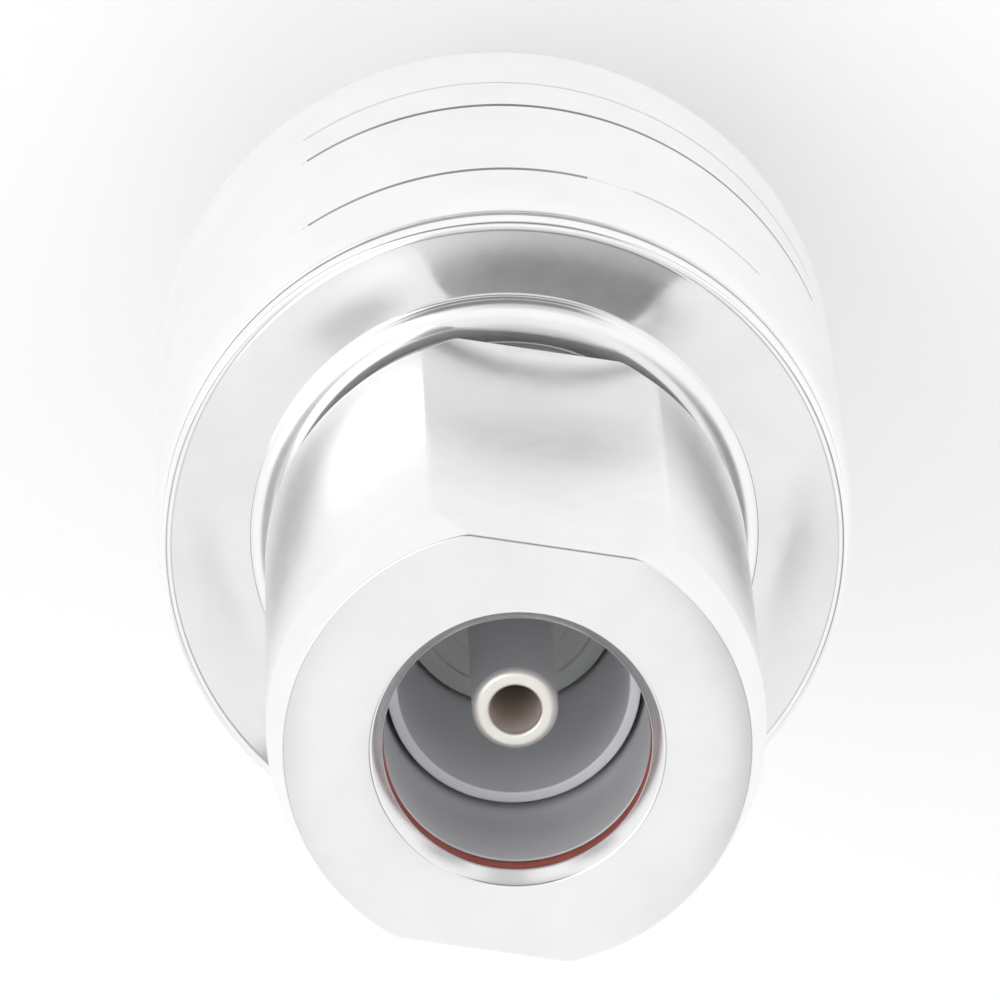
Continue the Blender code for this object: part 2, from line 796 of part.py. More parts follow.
# The thread's ridges are shown as rings, from the plain end against the drum down.
ridges = math.floor(
    (z_drum_rear - GAP - REAR_THREAD_END - PORT_EDGE) / REAR_THREAD_PITCH
)
thread = []
for i in range(ridges):
    ridge_top = z_drum_rear - GAP - REAR_THREAD_END - i * REAR_THREAD_PITCH
    thread.append((thread_radius, ridge_top))
    thread.append(
        (thread_radius - REAR_THREAD_DEPTH, ridge_top - 0.4 * REAR_THREAD_PITCH)
    )
    thread.append((thread_radius, ridge_top - 0.8 * REAR_THREAD_PITCH))
rear_barrel = turned(
    "rear_barrel",
    [
        (rear_spigot_radius, z_cavity_rear),
        *groove(
            rear_spigot_radius,
            seal_depth,
            rear_seal_top + GAP,
            SEAL_WIDTH + 2 * GAP,
        ),
        (rear_spigot_radius, z_drum_rear - GAP),
        (thread_radius, z_drum_rear - GAP),
        *thread,
        (thread_radius, PORT_EDGE),
        (thread_radius - PORT_EDGE, 0),
        (REAR_MOUTH_DIA / 2, 0),
        (REAR_BORE_DIA / 2, (REAR_MOUTH_DIA - REAR_BORE_DIA) / 2),
        (REAR_BORE_DIA / 2, z_rear_web),
        (WEB_BORE_DIA / 2, z_rear_web),
        (WEB_BORE_DIA / 2, z_cavity_rear),
    ],
    ROUND_SEGMENTS,
    SATIN,
)
rear_seal_ring = turned(
    "rear_seal_ring",
    ring_profile(
        rear_spigot_radius - SEAL_RADIAL,
        rear_spigot_radius,
        rear_seal_top - SEAL_WIDTH,
        rear_seal_top,
    ),
    ROUND_SEGMENTS,
    BLACK_RUBBER,
)

# Bulkhead hardware stacked on the thread, against the drum's rear face
hardware_bore = thread_radius + GAP
gasket_face = z_drum_rear - GAP
bulkhead_gasket = turned(
    "bulkhead_gasket",
    ring_profile(
        hardware_bore,
        PANEL_GASKET_DIA / 2,
        gasket_face - PANEL_GASKET_THICKNESS,
        gasket_face,
    ),
    ROUND_SEGMENTS,
    BLACK_RUBBER,
)
lock_washer_top = gasket_face - PANEL_GASKET_THICKNESS - GAP
bulkhead_lock_washer = turned(
    "bulkhead_lock_washer",
    ring_profile(
        hardware_bore,
        LOCK_WASHER_DIA / 2,
        lock_washer_top - LOCK_WASHER_THICKNESS,
        lock_washer_top,
    ),
    ROUND_SEGMENTS,
    STEEL,
)
tooth_pitch = math.pi * LOCK_WASHER_DIA / LOCK_WASHER_TEETH
for i in range(LOCK_WASHER_TEETH):
    notch = box_cutter(
        f"tooth_notch_{i + 1}",
        (tooth_pitch / 2, 2 * LOCK_WASHER_TOOTH_DEPTH, LOCK_WASHER_THICKNESS + OVERCUT),
        Matrix.Rotation(2 * math.pi * (i + 0.5) / LOCK_WASHER_TEETH, 4, "Z")
        @ Matrix.Translation(
            (0, LOCK_WASHER_DIA / 2, lock_washer_top - LOCK_WASHER_THICKNESS / 2)
        ),
    )
    cut(bulkhead_lock_washer, notch)

panel_nut_top = lock_washer_top - LOCK_WASHER_THICKNESS - GAP
panel_nut_bottom = panel_nut_top - PANEL_NUT_THICKNESS
bulkhead_nut = hexagon(
    "bulkhead_nut", PANEL_NUT_ACROSS_FLATS, panel_nut_bottom, panel_nut_top, STEEL
)
combine(
    bulkhead_nut,
    chamfered_blank(
        "panel_nut_blank",
        PANEL_NUT_ACROSS_FLATS,
        PANEL_NUT_FACE_DIA,
        panel_nut_bottom,
        panel_nut_top,
        PANEL_NUT_CHAMFER_ANGLE,
    ),
    "INTERSECT",
)
panel_nut_bore = turned_cutter(
    "panel_nut_bore",
    [
        (0, panel_nut_top + OVERCUT),
        (hardware_bore, panel_nut_top + OVERCUT),
        (hardware_bore, panel_nut_bottom - OVERCUT),
        (0, panel_nut_bottom - OVERCUT),
    ],
    ROUND_SEGMENTS,
)
cut(bulkhead_nut, panel_nut_bore)

# Each piece keeps its finished mesh, shaded smooth up to its real edges
bpy.context.view_layer.update()
graph = bpy.context.evaluated_depsgraph_get()
finished = {}
for obj in parts.objects:
    if obj.type == "MESH":
        finished[obj] = bpy.data.meshes.new_from_object(obj.evaluated_get(graph))
for obj, mesh in finished.items():
    obj.modifiers.clear()
    obj.data = mesh
    mesh.shade_smooth()
    mesh.set_sharp_from_angle(angle=SMOOTH_ANGLE)
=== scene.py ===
"""Looks of the coax lightning arrestor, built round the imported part. Sizes are in metres."""

import math

import bmesh
import bpy
import numpy as np
from mathutils import Matrix, Vector


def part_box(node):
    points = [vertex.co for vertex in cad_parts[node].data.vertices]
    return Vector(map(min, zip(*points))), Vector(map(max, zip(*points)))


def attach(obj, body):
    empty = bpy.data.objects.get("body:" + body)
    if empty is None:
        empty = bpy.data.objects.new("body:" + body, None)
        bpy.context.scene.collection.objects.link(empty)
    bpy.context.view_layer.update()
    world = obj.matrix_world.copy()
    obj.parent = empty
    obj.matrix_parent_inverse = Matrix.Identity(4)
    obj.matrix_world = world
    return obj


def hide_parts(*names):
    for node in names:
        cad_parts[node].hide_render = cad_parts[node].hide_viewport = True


MM = 0.001

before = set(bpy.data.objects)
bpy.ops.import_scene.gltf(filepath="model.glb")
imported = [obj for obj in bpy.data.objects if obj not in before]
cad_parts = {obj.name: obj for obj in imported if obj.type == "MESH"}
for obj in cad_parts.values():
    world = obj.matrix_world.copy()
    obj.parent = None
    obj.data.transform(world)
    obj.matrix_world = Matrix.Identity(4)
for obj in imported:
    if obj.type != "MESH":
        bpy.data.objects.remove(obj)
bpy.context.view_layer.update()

# Heights on the axis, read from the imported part
Z_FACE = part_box("coupling_nut")[1].z
Z_NUT_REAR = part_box("coupling_nut")[0].z
Z_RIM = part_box("front_barrel")[1].z
Z_DRUM_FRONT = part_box("drum_housing")[1].z
Z_DRUM_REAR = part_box("drum_housing")[0].z
Z_CAVITY_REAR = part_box("rear_barrel")[1].z
Z_SPIGOT_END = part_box("front_barrel")[0].z
GAS_MIDDLE = (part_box("gas_tube_cap")[0].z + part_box("gas_tube_cap")[1].z) / 2

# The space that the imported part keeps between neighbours
GAP = 0.15 * MM
RING_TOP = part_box("nut_retaining_ring")[1].z + GAP
RING_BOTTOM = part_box("nut_retaining_ring")[0].z - GAP

# Mesh code

MOST_OF_SIDE = 0.45
ON_AXIS = 1e-9
TINY = 1e-12
SHARP_ANGLE = 34.0
SOFT_EDGE = 0.08 * MM


def angles(count):
    """Evenly spaced angles round the axis."""
    return np.linspace(0.0, 2 * math.pi, count, endpoint=False)


def loop_rows(points, count):
    """Rows of (r, z) as an array [rows, columns, 2], from scalars or per-column arrays."""
    rows = np.zeros((len(points), count, 2))
    for i, (r, z) in enumerate(points):
        rows[i, :, 0] = r
        rows[i, :, 1] = z
    return rows


def soften(rows, size, steps=4, closed=True, keep=()):
    """Rounds each corner of a profile, at most over a set part of its shorter side."""
    n = len(rows)
    out = []
    for i in range(n):
        here = rows[i]
        if (not closed and i in (0, n - 1)) or i in keep:
            out.append(here)
            continue
        to_last = rows[(i - 1) % n] - here
        to_next = rows[(i + 1) % n] - here
        len_last = np.linalg.norm(to_last, axis=1, keepdims=True)
        len_next = np.linalg.norm(to_next, axis=1, keepdims=True)
        reach = np.minimum(size, MOST_OF_SIDE * np.minimum(len_last, len_next))
        start = here + to_last / np.maximum(len_last, TINY) * reach
        end = here + to_next / np.maximum(len_next, TINY) * reach
        for k in range(steps + 1):
            t = k / steps
            out.append((1 - t) ** 2 * start + 2 * t * (1 - t) * here + t * t * end)
    return np.array(out)


def mesh_from_rows(name, rows, around, closed=True):
    """A mesh whose column j is the profile rows[:, j] turned to angle around[j]."""
    count = len(around)
    verts, faces, index = [], [], []
    for row in rows:
        if float(np.abs(row[:, 0]).max()) < ON_AXIS:
            index.append([len(verts)] * count)
            verts.append((0.0, 0.0, float(row[0, 1])))
            continue
        first = len(verts)
        index.append(list(range(first, first + count)))
        verts.extend(
            zip(
                (row[:, 0] * np.cos(around)).tolist(),
                (row[:, 0] * np.sin(around)).tolist(),
                row[:, 1].tolist(),
            )
        )
    pairs = len(rows) if closed else len(rows) - 1
    for i in range(pairs):
        upper, lower = index[i], index[(i + 1) % len(rows)]
        for j in range(count):
            k = (j + 1) % count
            corners = [upper[j], lower[j], lower[k], upper[k]]
            face = [c for n, c in enumerate(corners) if c not in corners[:n]]
            if len(face) > 2:
                faces.append(face)
    mesh = bpy.data.meshes.new(name)
    mesh.from_pydata(verts, [], faces)
    mesh.update()
    return mesh


def add_piece(name, mesh, look, body, nodes, sharp=SHARP_ANGLE):
    """The finished piece: shaded, riding on its body and standing for its nodes."""
    mesh.shade_smooth()
    mesh.set_sharp_from_angle(angle=math.radians(sharp))
    obj = bpy.data.objects.new(name, mesh)
    bpy.context.scene.collection.objects.link(obj)
    mesh.materials.clear()
    mesh.materials.append(look)
    weighted = obj.modifiers.new("weighted", "WEIGHTED_NORMAL")
    weighted.keep_sharp = True
    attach(obj, body)
    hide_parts(*nodes)
    return obj


def paint(obj, look, chosen):
    """Gives another look to the faces that are chosen by their radius and height."""
    obj.data.materials.append(look)
    index = len(obj.data.materials) - 1
    for face in obj.data.polygons:
        middle = face.center
        if chosen(math.hypot(middle.x, middle.y), middle.z):
            face.material_index = index


def turned_mesh(name, points, columns, size, steps=4, closed=True):
    """A turned mesh from a profile of (r, z), its corners softened."""
    rows = soften(loop_rows(points, columns), size, steps, closed)
    return mesh_from_rows(name, rows, angles(columns), closed)


def arc_points(centre, radii, start, end, steps):
    """Points of an elliptic arc in a profile, from +r towards +z."""
    out = []
    for i in range(steps + 1):
        a = start + (end - start) * i / steps
        out.append(
            (centre[0] + radii[0] * math.cos(a), centre[1] + radii[1] * math.sin(a))
        )
    return out


def cut_away(mesh, cutters):
    """The mesh less some cutter meshes, each given as (mesh, matrix)."""
    holder = bpy.data.objects.new("cut_holder", mesh)
    bpy.context.scene.collection.objects.link(holder)
    helpers = []
    for cutter, matrix in cutters:
        helper = bpy.data.objects.new("cut_helper", cutter)
        bpy.context.scene.collection.objects.link(helper)
        helper.matrix_world = matrix
        helpers.append(helper)
        modifier = holder.modifiers.new("cut", "BOOLEAN")
        modifier.operation = "DIFFERENCE"
        modifier.solver = "EXACT"
        modifier.object = helper
    bpy.context.view_layer.update()
    graph = bpy.context.evaluated_depsgraph_get()
    result = bpy.data.meshes.new_from_object(holder.evaluated_get(graph))
    for obj in [holder, *helpers]:
        bpy.data.objects.remove(obj, do_unlink=True)
    return result


def box_mesh(size):
    """A box of the given size round the origin, for a cut."""
    mesh = bpy.data.meshes.new("cut_box")
    shape = bmesh.new()
    bmesh.ops.create_cube(shape, size=1.0)
    bmesh.ops.scale(shape, vec=Vector(size), verts=shape.verts)
    shape.to_mesh(mesh)
    shape.free()
    return mesh


# Materials

NOISE_LOW = 0.3
NOISE_HIGH = 0.7
CLOUD_SCALE = 0.35
SMEAR_SCALE = 1.3
FINE_SCALE = 9.0
FINE_SHARE = 0.25
MARK_HEIGHT = 0.02 * MM
MOTTLE_SCALE = 0.8
GRAIN_HEIGHT = 0.03 * MM
ROUND_AXIS = (0.02, 0.02, 1.0)
ALONG_AXIS = (1.0, 1.0, 0.05)


def start_material(name, colour, roughness, metallic):
    """A Principled material with its constants set, and its tree and shader."""
    made = bpy.data.materials.new(name)
    made.use_nodes = True
    tree = made.node_tree
    shader = tree.nodes["Principled BSDF"]
    shader.inputs["Base Color"].default_value = (*colour, 1.0)
    shader.inputs["Roughness"].default_value = roughness
    shader.inputs["Metallic"].default_value = metallic
    return made, tree, shader


def object_point(tree):
    """Object coordinates in millimetres."""
    where = tree.nodes.new("ShaderNodeTexCoord")
    scale = tree.nodes.new("ShaderNodeVectorMath")
    scale.operation = "SCALE"
    scale.inputs["Scale"].default_value = 1.0 / MM
    tree.links.new(where.outputs["Object"], scale.inputs[0])
    return scale.outputs["Vector"]


def noise(tree, point, scale, detail=3.0, stretch=(1, 1, 1)):
    """A noise value at a point, which may be scaled differently along each axis."""
    mapping = tree.nodes.new("ShaderNodeMapping")
    mapping.inputs["Scale"].default_value = stretch
    tree.links.new(point, mapping.inputs["Vector"])
    texture = tree.nodes.new("ShaderNodeTexNoise")
    texture.inputs["Scale"].default_value = scale
    texture.inputs["Detail"].default_value = detail
    tree.links.new(mapping.outputs["Vector"], texture.inputs["Vector"])
    return texture.outputs["Fac"]


def map_range(tree, value, low, high, to_low, to_high):
    """The value's place between low and high, put between to_low and to_high."""
    node = tree.nodes.new("ShaderNodeMapRange")
    node.inputs["From Min"].default_value = low
    node.inputs["From Max"].default_value = high
    node.inputs["To Min"].default_value = to_low
    node.inputs["To Max"].default_value = to_high
    tree.links.new(value, node.inputs["Value"])
    return node.outputs["Result"]


def tint(tree, shader, factor, dark, light):
    """The base colour, from dark to light as the factor grows."""
    mix = tree.nodes.new("ShaderNodeMix")
    mix.data_type = "RGBA"
    mix.inputs["A"].default_value = (*dark, 1.0)
    mix.inputs["B"].default_value = (*light, 1.0)
    tree.links.new(factor, mix.inputs["Factor"])
    tree.links.new(mix.outputs["Result"], shader.inputs["Base Color"])


def bump(tree, shader, heights, strength, distance):
    """One bump from a sum of heights."""
    total = heights[0]
    for extra in heights[1:]:
        add = tree.nodes.new("ShaderNodeMath")
        add.operation = "ADD"
        tree.links.new(total, add.inputs[0])
        tree.links.new(extra, add.inputs[1])
        total = add.outputs["Value"]
    node = tree.nodes.new("ShaderNodeBump")
    node.inputs["Strength"].default_value = strength
    node.inputs["Distance"].default_value = distance
    tree.links.new(total, node.inputs["Height"])
    tree.links.new(node.outputs["Normal"], shader.inputs["Normal"])


def metal(name, dark, light, rough, marks, strength, stretch=ROUND_AXIS, share=1.0):
    """Plated metal: cloudy tint, uneven polish and fine marks round or along the axis."""
    made, tree, shader = start_material(name, light, rough[0], share)
    point = object_point(tree)
    cloud = noise(tree, point, CLOUD_SCALE, detail=4.0)
    clouds = map_range(tree, cloud, NOISE_LOW, NOISE_HIGH, 0.0, 1.0)
    tint(tree, shader, clouds, dark, light)
    smear = noise(tree, point, SMEAR_SCALE, detail=5.0)
    rough_value = map_range(tree, smear, NOISE_LOW, NOISE_HIGH, rough[0], rough[1])
    tree.links.new(rough_value, shader.inputs["Roughness"])
    lines = noise(tree, point, marks, detail=6.0, stretch=stretch)
    fine = noise(tree, point, FINE_SCALE)
    soft = map_range(tree, fine, 0.0, 1.0, 0.0, FINE_SHARE)
    bump(tree, shader, [lines, soft], strength, MARK_HEIGHT)
    return made


POLISHED = metal(
    "polished_nickel",
    dark=(0.93, 0.93, 0.925),
    light=(0.97, 0.97, 0.965),
    rough=(0.13, 0.19),
    marks=6.0,
    strength=0.05,
)
NUT_METAL = metal(
    "nut_nickel",
    dark=(0.88, 0.88, 0.88),
    light=(0.92, 0.92, 0.92),
    rough=(0.18, 0.22),
    marks=9.0,
    strength=0.03,
    stretch=ALONG_AXIS,
)
BORE_METAL = metal(
    "bore_nickel",
    dark=(0.70, 0.71, 0.73),
    light=(0.76, 0.77, 0.79),
    rough=(0.42, 0.50),
    marks=7.0,
    strength=0.08,
    share=0.3,
)
TUBE_METAL = metal(
    "tube_nickel",
    dark=(0.91, 0.92, 0.94),
    light=(0.95, 0.96, 0.98),
    rough=(0.42, 0.50),
    marks=7.0,
    strength=0.08,
    share=0.1,
)
# Dark nickel for the drum's border-line grooves and the flange rim beside the drum: painted
# shade
GROOVE_PAINTED_SHADE = metal(
    "groove_painted_shade",
    dark=(0.36, 0.36, 0.36),
    light=(0.46, 0.46, 0.46),
    rough=(0.40, 0.50),
    marks=8.0,
    strength=0.1,
)
# A greyer copy of the contact's metal for its body below the lip: painted shade
PIN_PAINTED_SHADE = metal(
    "pin_nickel_painted_shade",
    dark=(0.82, 0.82, 0.83),
    light=(0.88, 0.88, 0.89),
    rough=(0.40, 0.50),
    marks=8.0,
    strength=0.1,
)
SATIN = metal(
    "satin_nickel",
    dark=(0.92, 0.92, 0.92),
    light=(0.96, 0.96, 0.96),
    rough=(0.30, 0.38),
    marks=8.0,
    strength=0.22,
)
PLATED = metal(
    "plated_nickel",
    dark=(0.70, 0.70, 0.69),
    light=(0.78, 0.78, 0.77),
    rough=(0.22, 0.32),
    marks=5.0,
    strength=0.15,
)
STEEL = metal(
    "zinc_steel",
    dark=(0.60, 0.61, 0.62),
    light=(0.70, 0.71, 0.72),
    rough=(0.24, 0.36),
    marks=6.0,
    strength=0.15,
)
SPRING = metal(
    "spring_steel",
    dark=(0.36, 0.35, 0.34),
    light=(0.46, 0.45, 0.43),
    rough=(0.26, 0.36),
    marks=6.0,
    strength=0.15,
)
# A paler copy of the same metal for the contact's lip: painted highlight
TIP_PAINTED_HIGHLIGHT = metal(
    "pale_tip_painted_highlight",
    dark=(0.96, 0.94, 0.88),
    light=(1.0, 0.98, 0.93),
    rough=(0.36, 0.46),
    marks=8.0,
    strength=0.12,
)
GOLD = metal(
    "pale_gold",
    dark=(0.90, 0.86, 0.76),
    light=(0.95, 0.92, 0.84),
    rough=(0.36, 0.46),
    marks=8.0,
    strength=0.12,
)


def plain(name, dark, light, rough, grain, strength, subsurface=0.0):
    """Resin, rubber, ceramic or the painted shade inside a hole: faint mottling and a fine
    grain.
    """
    made, tree, shader = start_material(name, light, rough, 0.0)
    point = object_point(tree)
    cloud = noise(tree, point, MOTTLE_SCALE)
    mottling = map_range(tree, cloud, NOISE_LOW, NOISE_HIGH, 0.0, 1.0)
    tint(tree, shader, mottling, dark, light)
    bump(tree, shader, [noise(tree, point, grain)], strength, GRAIN_HEIGHT)
    if subsurface:
        shader.inputs["Subsurface Weight"].default_value = subsurface
        shader.inputs["Subsurface Scale"].default_value = MM
    return made


RESIN = plain(
    "white_resin",
    dark=(0.80, 0.80, 0.78),
    light=(0.86, 0.86, 0.84),
    rough=0.45,
    grain=6.0,
    strength=0.12,
    subsurface=0.3,
)
SILICONE = plain(
    "red_silicone",
    dark=(0.30, 0.065, 0.05),
    light=(0.38, 0.09, 0.07),
    rough=0.5,
    grain=8.0,
    strength=0.1,
)
RUBBER = plain(
    "black_rubber",
    dark=(0.02, 0.02, 0.02),
    light=(0.035, 0.035, 0.035),
    rough=0.6,
    grain=9.0,
    strength=0.2,
)
# A dull colour for the inside of the contact's hole: painted shade
HOLE_PAINTED_SHADE = plain(
    "socket_painted_shade",
    dark=(0.62, 0.55, 0.50),
    light=(0.70, 0.63, 0.58),
    rough=0.6,
    grain=6.0,
    strength=0.1,
)
CERAMIC = plain(
    "ceramic",
    dark=(0.82, 0.81, 0.77),
    light=(0.86, 0.85, 0.82),
    rough=0.4,
    grain=5.0,
    strength=0.1,
)

# Coupling nut

NUT_R = 8.75 * MM
NUT_HALF_FLAT = 7.65 * MM
NUT_FACE_R = 8.2 * MM
NUT_CHAMFER_LENGTH = 2.0 * MM
NUT_EDGE = 0.10 * MM
NUT_EDGE_DROP = 0.8 * NUT_EDGE
NUT_TURN = math.radians(-10)
MOUTH_R = 5.125 * MM
MOUTH_DEPTH = 0.5 * MM
BORE_R = 4.70 * MM
BORE_DEPTH = 9.0 * MM
NUT_REAR_BORE_R = 5.40 * MM
NUT_RING_GROOVE_R = 6.0 * MM
GASKET_GROOVE_R = 5.37 * MM
GASKET_IN_R = 4.65 * MM
LEAST_COSINE = 1e-3
NUT_SOFT = 0.07 * MM
GASKET_SOFT = 0.04 * MM
COLUMNS_PER_FLAT = 80
COLUMNS_PER_ARC = 150
NUT_INSIDE_R = 4.95 * MM
NUT_INSIDE_DEPTH = 0.3 * MM
NUT_REAR_LOOK = 0.03 * MM


def nut_columns():
    """Angles round the nut, closer together at the ends of its two flats."""
    end = math.acos(NUT_HALF_FLAT / NUT_R)
    out = []
    for side in range(2):
        middle = -math.pi / 2 + NUT_TURN + side * math.pi
        out.extend(np.linspace(-end, end, COLUMNS_PER_FLAT, endpoint=False) + middle)
        arc = np.linspace(end, math.pi - end, COLUMNS_PER_ARC, endpoint=False)
        out.extend(arc + middle)
    return np.array(out)


def nut_mesh():
    """The round nut with two flats, which also cut its two chamfers."""
    around = nut_columns()
    local = np.abs(
        (around - (-math.pi / 2 + NUT_TURN) + math.pi / 2) % math.pi - math.pi / 2
    )
    flat = NUT_HALF_FLAT / np.maximum(np.cos(local), LEAST_COSINE)
    radius = np.minimum(NUT_R, flat)
    face = np.minimum(NUT_FACE_R, radius - NUT_EDGE)
    slope = NUT_CHAMFER_LENGTH / (NUT_R - NUT_FACE_R)
    drop = np.maximum((radius - NUT_FACE_R) * slope, NUT_EDGE_DROP)
    gasket_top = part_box("mouth_gasket")[1].z + GAP
    gasket_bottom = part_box("mouth_gasket")[0].z - GAP
    step = Z_FACE - BORE_DEPTH
    points = [
        (MOUTH_R, Z_FACE),
        (face, Z_FACE),
        (radius, Z_FACE - drop),
        (radius, Z_NUT_REAR + drop),
        (face, Z_NUT_REAR),
        (NUT_REAR_BORE_R, Z_NUT_REAR),
        (NUT_REAR_BORE_R, RING_BOTTOM),
        (NUT_RING_GROOVE_R, RING_BOTTOM),
        (NUT_RING_GROOVE_R, RING_TOP),
        (NUT_REAR_BORE_R, RING_TOP),
        (NUT_REAR_BORE_R, step),
        (BORE_R, step),
        (BORE_R, gasket_bottom),
        (GASKET_GROOVE_R, gasket_bottom),
        (GASKET_GROOVE_R, gasket_top),
        (BORE_R, gasket_top),
        (BORE_R, Z_FACE - MOUTH_DEPTH),
    ]
    rows = soften(loop_rows(points, len(around)), NUT_SOFT, steps=3)
    return mesh_from_rows("nut_shell", rows, around)


nut = add_piece(
    "nut_shell", nut_mesh(), NUT_METAL, "nut", ["coupling_nut"]
)
paint(
    nut,
    BORE_METAL,
    lambda r, z: (r < NUT_INSIDE_R and z < Z_FACE - NUT_INSIDE_DEPTH)
    or z < Z_NUT_REAR + NUT_REAR_LOOK,
)

gasket_low, gasket_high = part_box("mouth_gasket")
gasket_half = (gasket_high.z - gasket_low.z) / 2
gasket_mid = (gasket_high.z + gasket_low.z) / 2
gasket_mesh = turned_mesh(
    "gasket",
    [
        (gasket_high.x, gasket_high.z),
        (gasket_high.x, gasket_low.z),
        (GASKET_IN_R + gasket_half, gasket_low.z),
        *arc_points(
            (GASKET_IN_R + gasket_half, gasket_mid),
            (gasket_half, gasket_half),
            -math.pi / 2,
            -3 * math.pi / 2,
            steps=8,
        ),
    ],
    columns=160,
    size=GASKET_SOFT,
    steps=2,
)
add_piece("gasket", gasket_mesh, SILICONE, "nut", ["mouth_gasket"])

# Front barrel and flange

FLANGE_R = 12.5 * MM
RIM_ROUND = 0.2 * MM
RIM_LAND = 0.15 * MM
RIM_SHADE = 0.25 * MM
RIM_LOOK = 0.1 * MM
DISH_SAG = 0.1 * MM
DISH_STEPS = 24
Z_FLANGE = Z_NUT_REAR + 0.1 * MM
Z_FLANGE_BACK = Z_DRUM_FRONT + GAP
BEAD_IN = 7.4 * MM
BEAD_OUT = 9.3 * MM
BEAD_HEIGHT = 0.45 * MM
Z_CREST = Z_NUT_REAR - 0.5 * MM
Z_FOOT = Z_CREST - BEAD_HEIGHT
Z_POCKET = Z_CREST - 1.0 * MM
BARREL_R = 5.2 * MM
RING_SEAT_R = 4.7 * MM
TUBE_R = 4.5 * MM
TUBE_BORE_R = 4.1 * MM
Z_LEDGE = Z_FACE - 9.3 * MM
Z_TUBE_LOOK = Z_FACE - 9.2 * MM
LOOK_MARGIN = 0.02 * MM
Z_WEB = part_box("front_insulator")[0].z - GAP
WEB_R = 3.2 * MM
SPIGOT_R = 11.6 * MM
SEAL_GROOVE_R = SPIGOT_R - 0.9 * MM
SEAL_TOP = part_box("front_seal_ring")[1].z + GAP
SEAL_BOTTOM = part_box("front_seal_ring")[0].z - GAP

bead_middle = (BEAD_IN + BEAD_OUT) / 2
bead_half = (BEAD_OUT - BEAD_IN) / 2
dish_end = (FLANGE_R - RIM_ROUND - RIM_LAND, Z_FLANGE)
dish = []
for i in range(1, DISH_STEPS):
    t = i / DISH_STEPS
    dish.append(
        (
            BEAD_OUT + (dish_end[0] - BEAD_OUT) * t,
            Z_FOOT + (dish_end[1] - Z_FOOT) * t - DISH_SAG * math.sin(math.pi * t),
        )
    )
barrel_points = [
    (TUBE_R, Z_RIM),
    (TUBE_R, Z_LEDGE),
    (BARREL_R, Z_LEDGE),
    (BARREL_R, RING_TOP),
    (RING_SEAT_R, RING_TOP),
    (RING_SEAT_R, RING_BOTTOM),
    (BARREL_R, RING_BOTTOM),
    (BARREL_R, Z_POCKET),
    (BEAD_IN, Z_POCKET),
    *arc_points((bead_middle, Z_FOOT), (bead_half, BEAD_HEIGHT), math.pi, 0.0, 16),
    *dish,
    dish_end,
    *arc_points(
        (FLANGE_R - RIM_ROUND, Z_FLANGE - RIM_ROUND),
        (RIM_ROUND, RIM_ROUND),
        math.pi / 2,
        0.0,
        steps=5,
    ),
    (FLANGE_R, Z_FLANGE_BACK + RIM_SHADE),
    (FLANGE_R, Z_FLANGE_BACK),
    (SPIGOT_R, Z_FLANGE_BACK),
    (SPIGOT_R, SEAL_TOP),
    (SEAL_GROOVE_R, SEAL_TOP),
    (SEAL_GROOVE_R, SEAL_BOTTOM),
    (SPIGOT_R, SEAL_BOTTOM),
    (SPIGOT_R, Z_SPIGOT_END),
    (WEB_R, Z_SPIGOT_END),
    (WEB_R, Z_WEB),
    (TUBE_BORE_R, Z_WEB),
    (TUBE_BORE_R, Z_RIM),
]
barrel = add_piece(
    "barrel_and_flange",
    turned_mesh("barrel_and_flange", barrel_points, 288, SOFT_EDGE, steps=3),
    POLISHED,
    "body",
    ["front_barrel"],
)
paint(
    barrel,
    TUBE_METAL,
    lambda r, z: r < TUBE_BORE_R + LOOK_MARGIN
    or z > Z_TUBE_LOOK
    or (r < BEAD_IN + LOOK_MARGIN and z < Z_CREST),
)
# The flange rim's strip next to the drum is painted dark: a painted shadow line in the gap
paint(
    barrel,
    GROOVE_PAINTED_SHADE,
    lambda r, z: r > FLANGE_R - RIM_LOOK and z < Z_FLANGE_BACK + RIM_SHADE,
)


def insulator_mesh(name, low, high, face_up):
    """A bead with a shallow ring sunk in its open face."""
    outer = high.x
    inner = 1.67 * MM
    sunk = 0.25 * MM
    ring_in = 2.4 * MM
    ring_out = 3.3 * MM
    points = [
        (inner, high.z),
        (ring_in, high.z),
        (ring_in, high.z - sunk),
        (ring_out, high.z - sunk),
        (ring_out, high.z),
        (outer, high.z),
        (outer, low.z),
        (inner, low.z),
    ]
    if not face_up:
        total = high.z + low.z
        points = [(r, total - z) for r, z in reversed(points)]
    return turned_mesh(name, points, 128, SOFT_EDGE, steps=3)


insulator_low, insulator_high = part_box("front_insulator")
add_piece(
    "front_bead",
    insulator_mesh("front_bead", insulator_low, insulator_high, face_up=True),
    RESIN,
    "body",
    ["front_insulator"],
)

# Contacts

CONTACT_COLUMNS = 96
HOLE_R = 0.9 * MM
HOLE_DEPTH = 6.0 * MM
HOLE_ROUND = 0.12 * MM
LIP_ROUND = 0.28 * MM
HOLE_LOOK_R = 0.95 * MM
HOLE_LOOK_DEPTH = 0.13 * MM
TIP_LENGTH = 0.30 * MM
REAR_CONTACT_R = 1.52 * MM
SLOT_BOX = (5 * MM, 0.3 * MM, 5.5 * MM)
SLOT_MIDDLE = 1.75 * MM


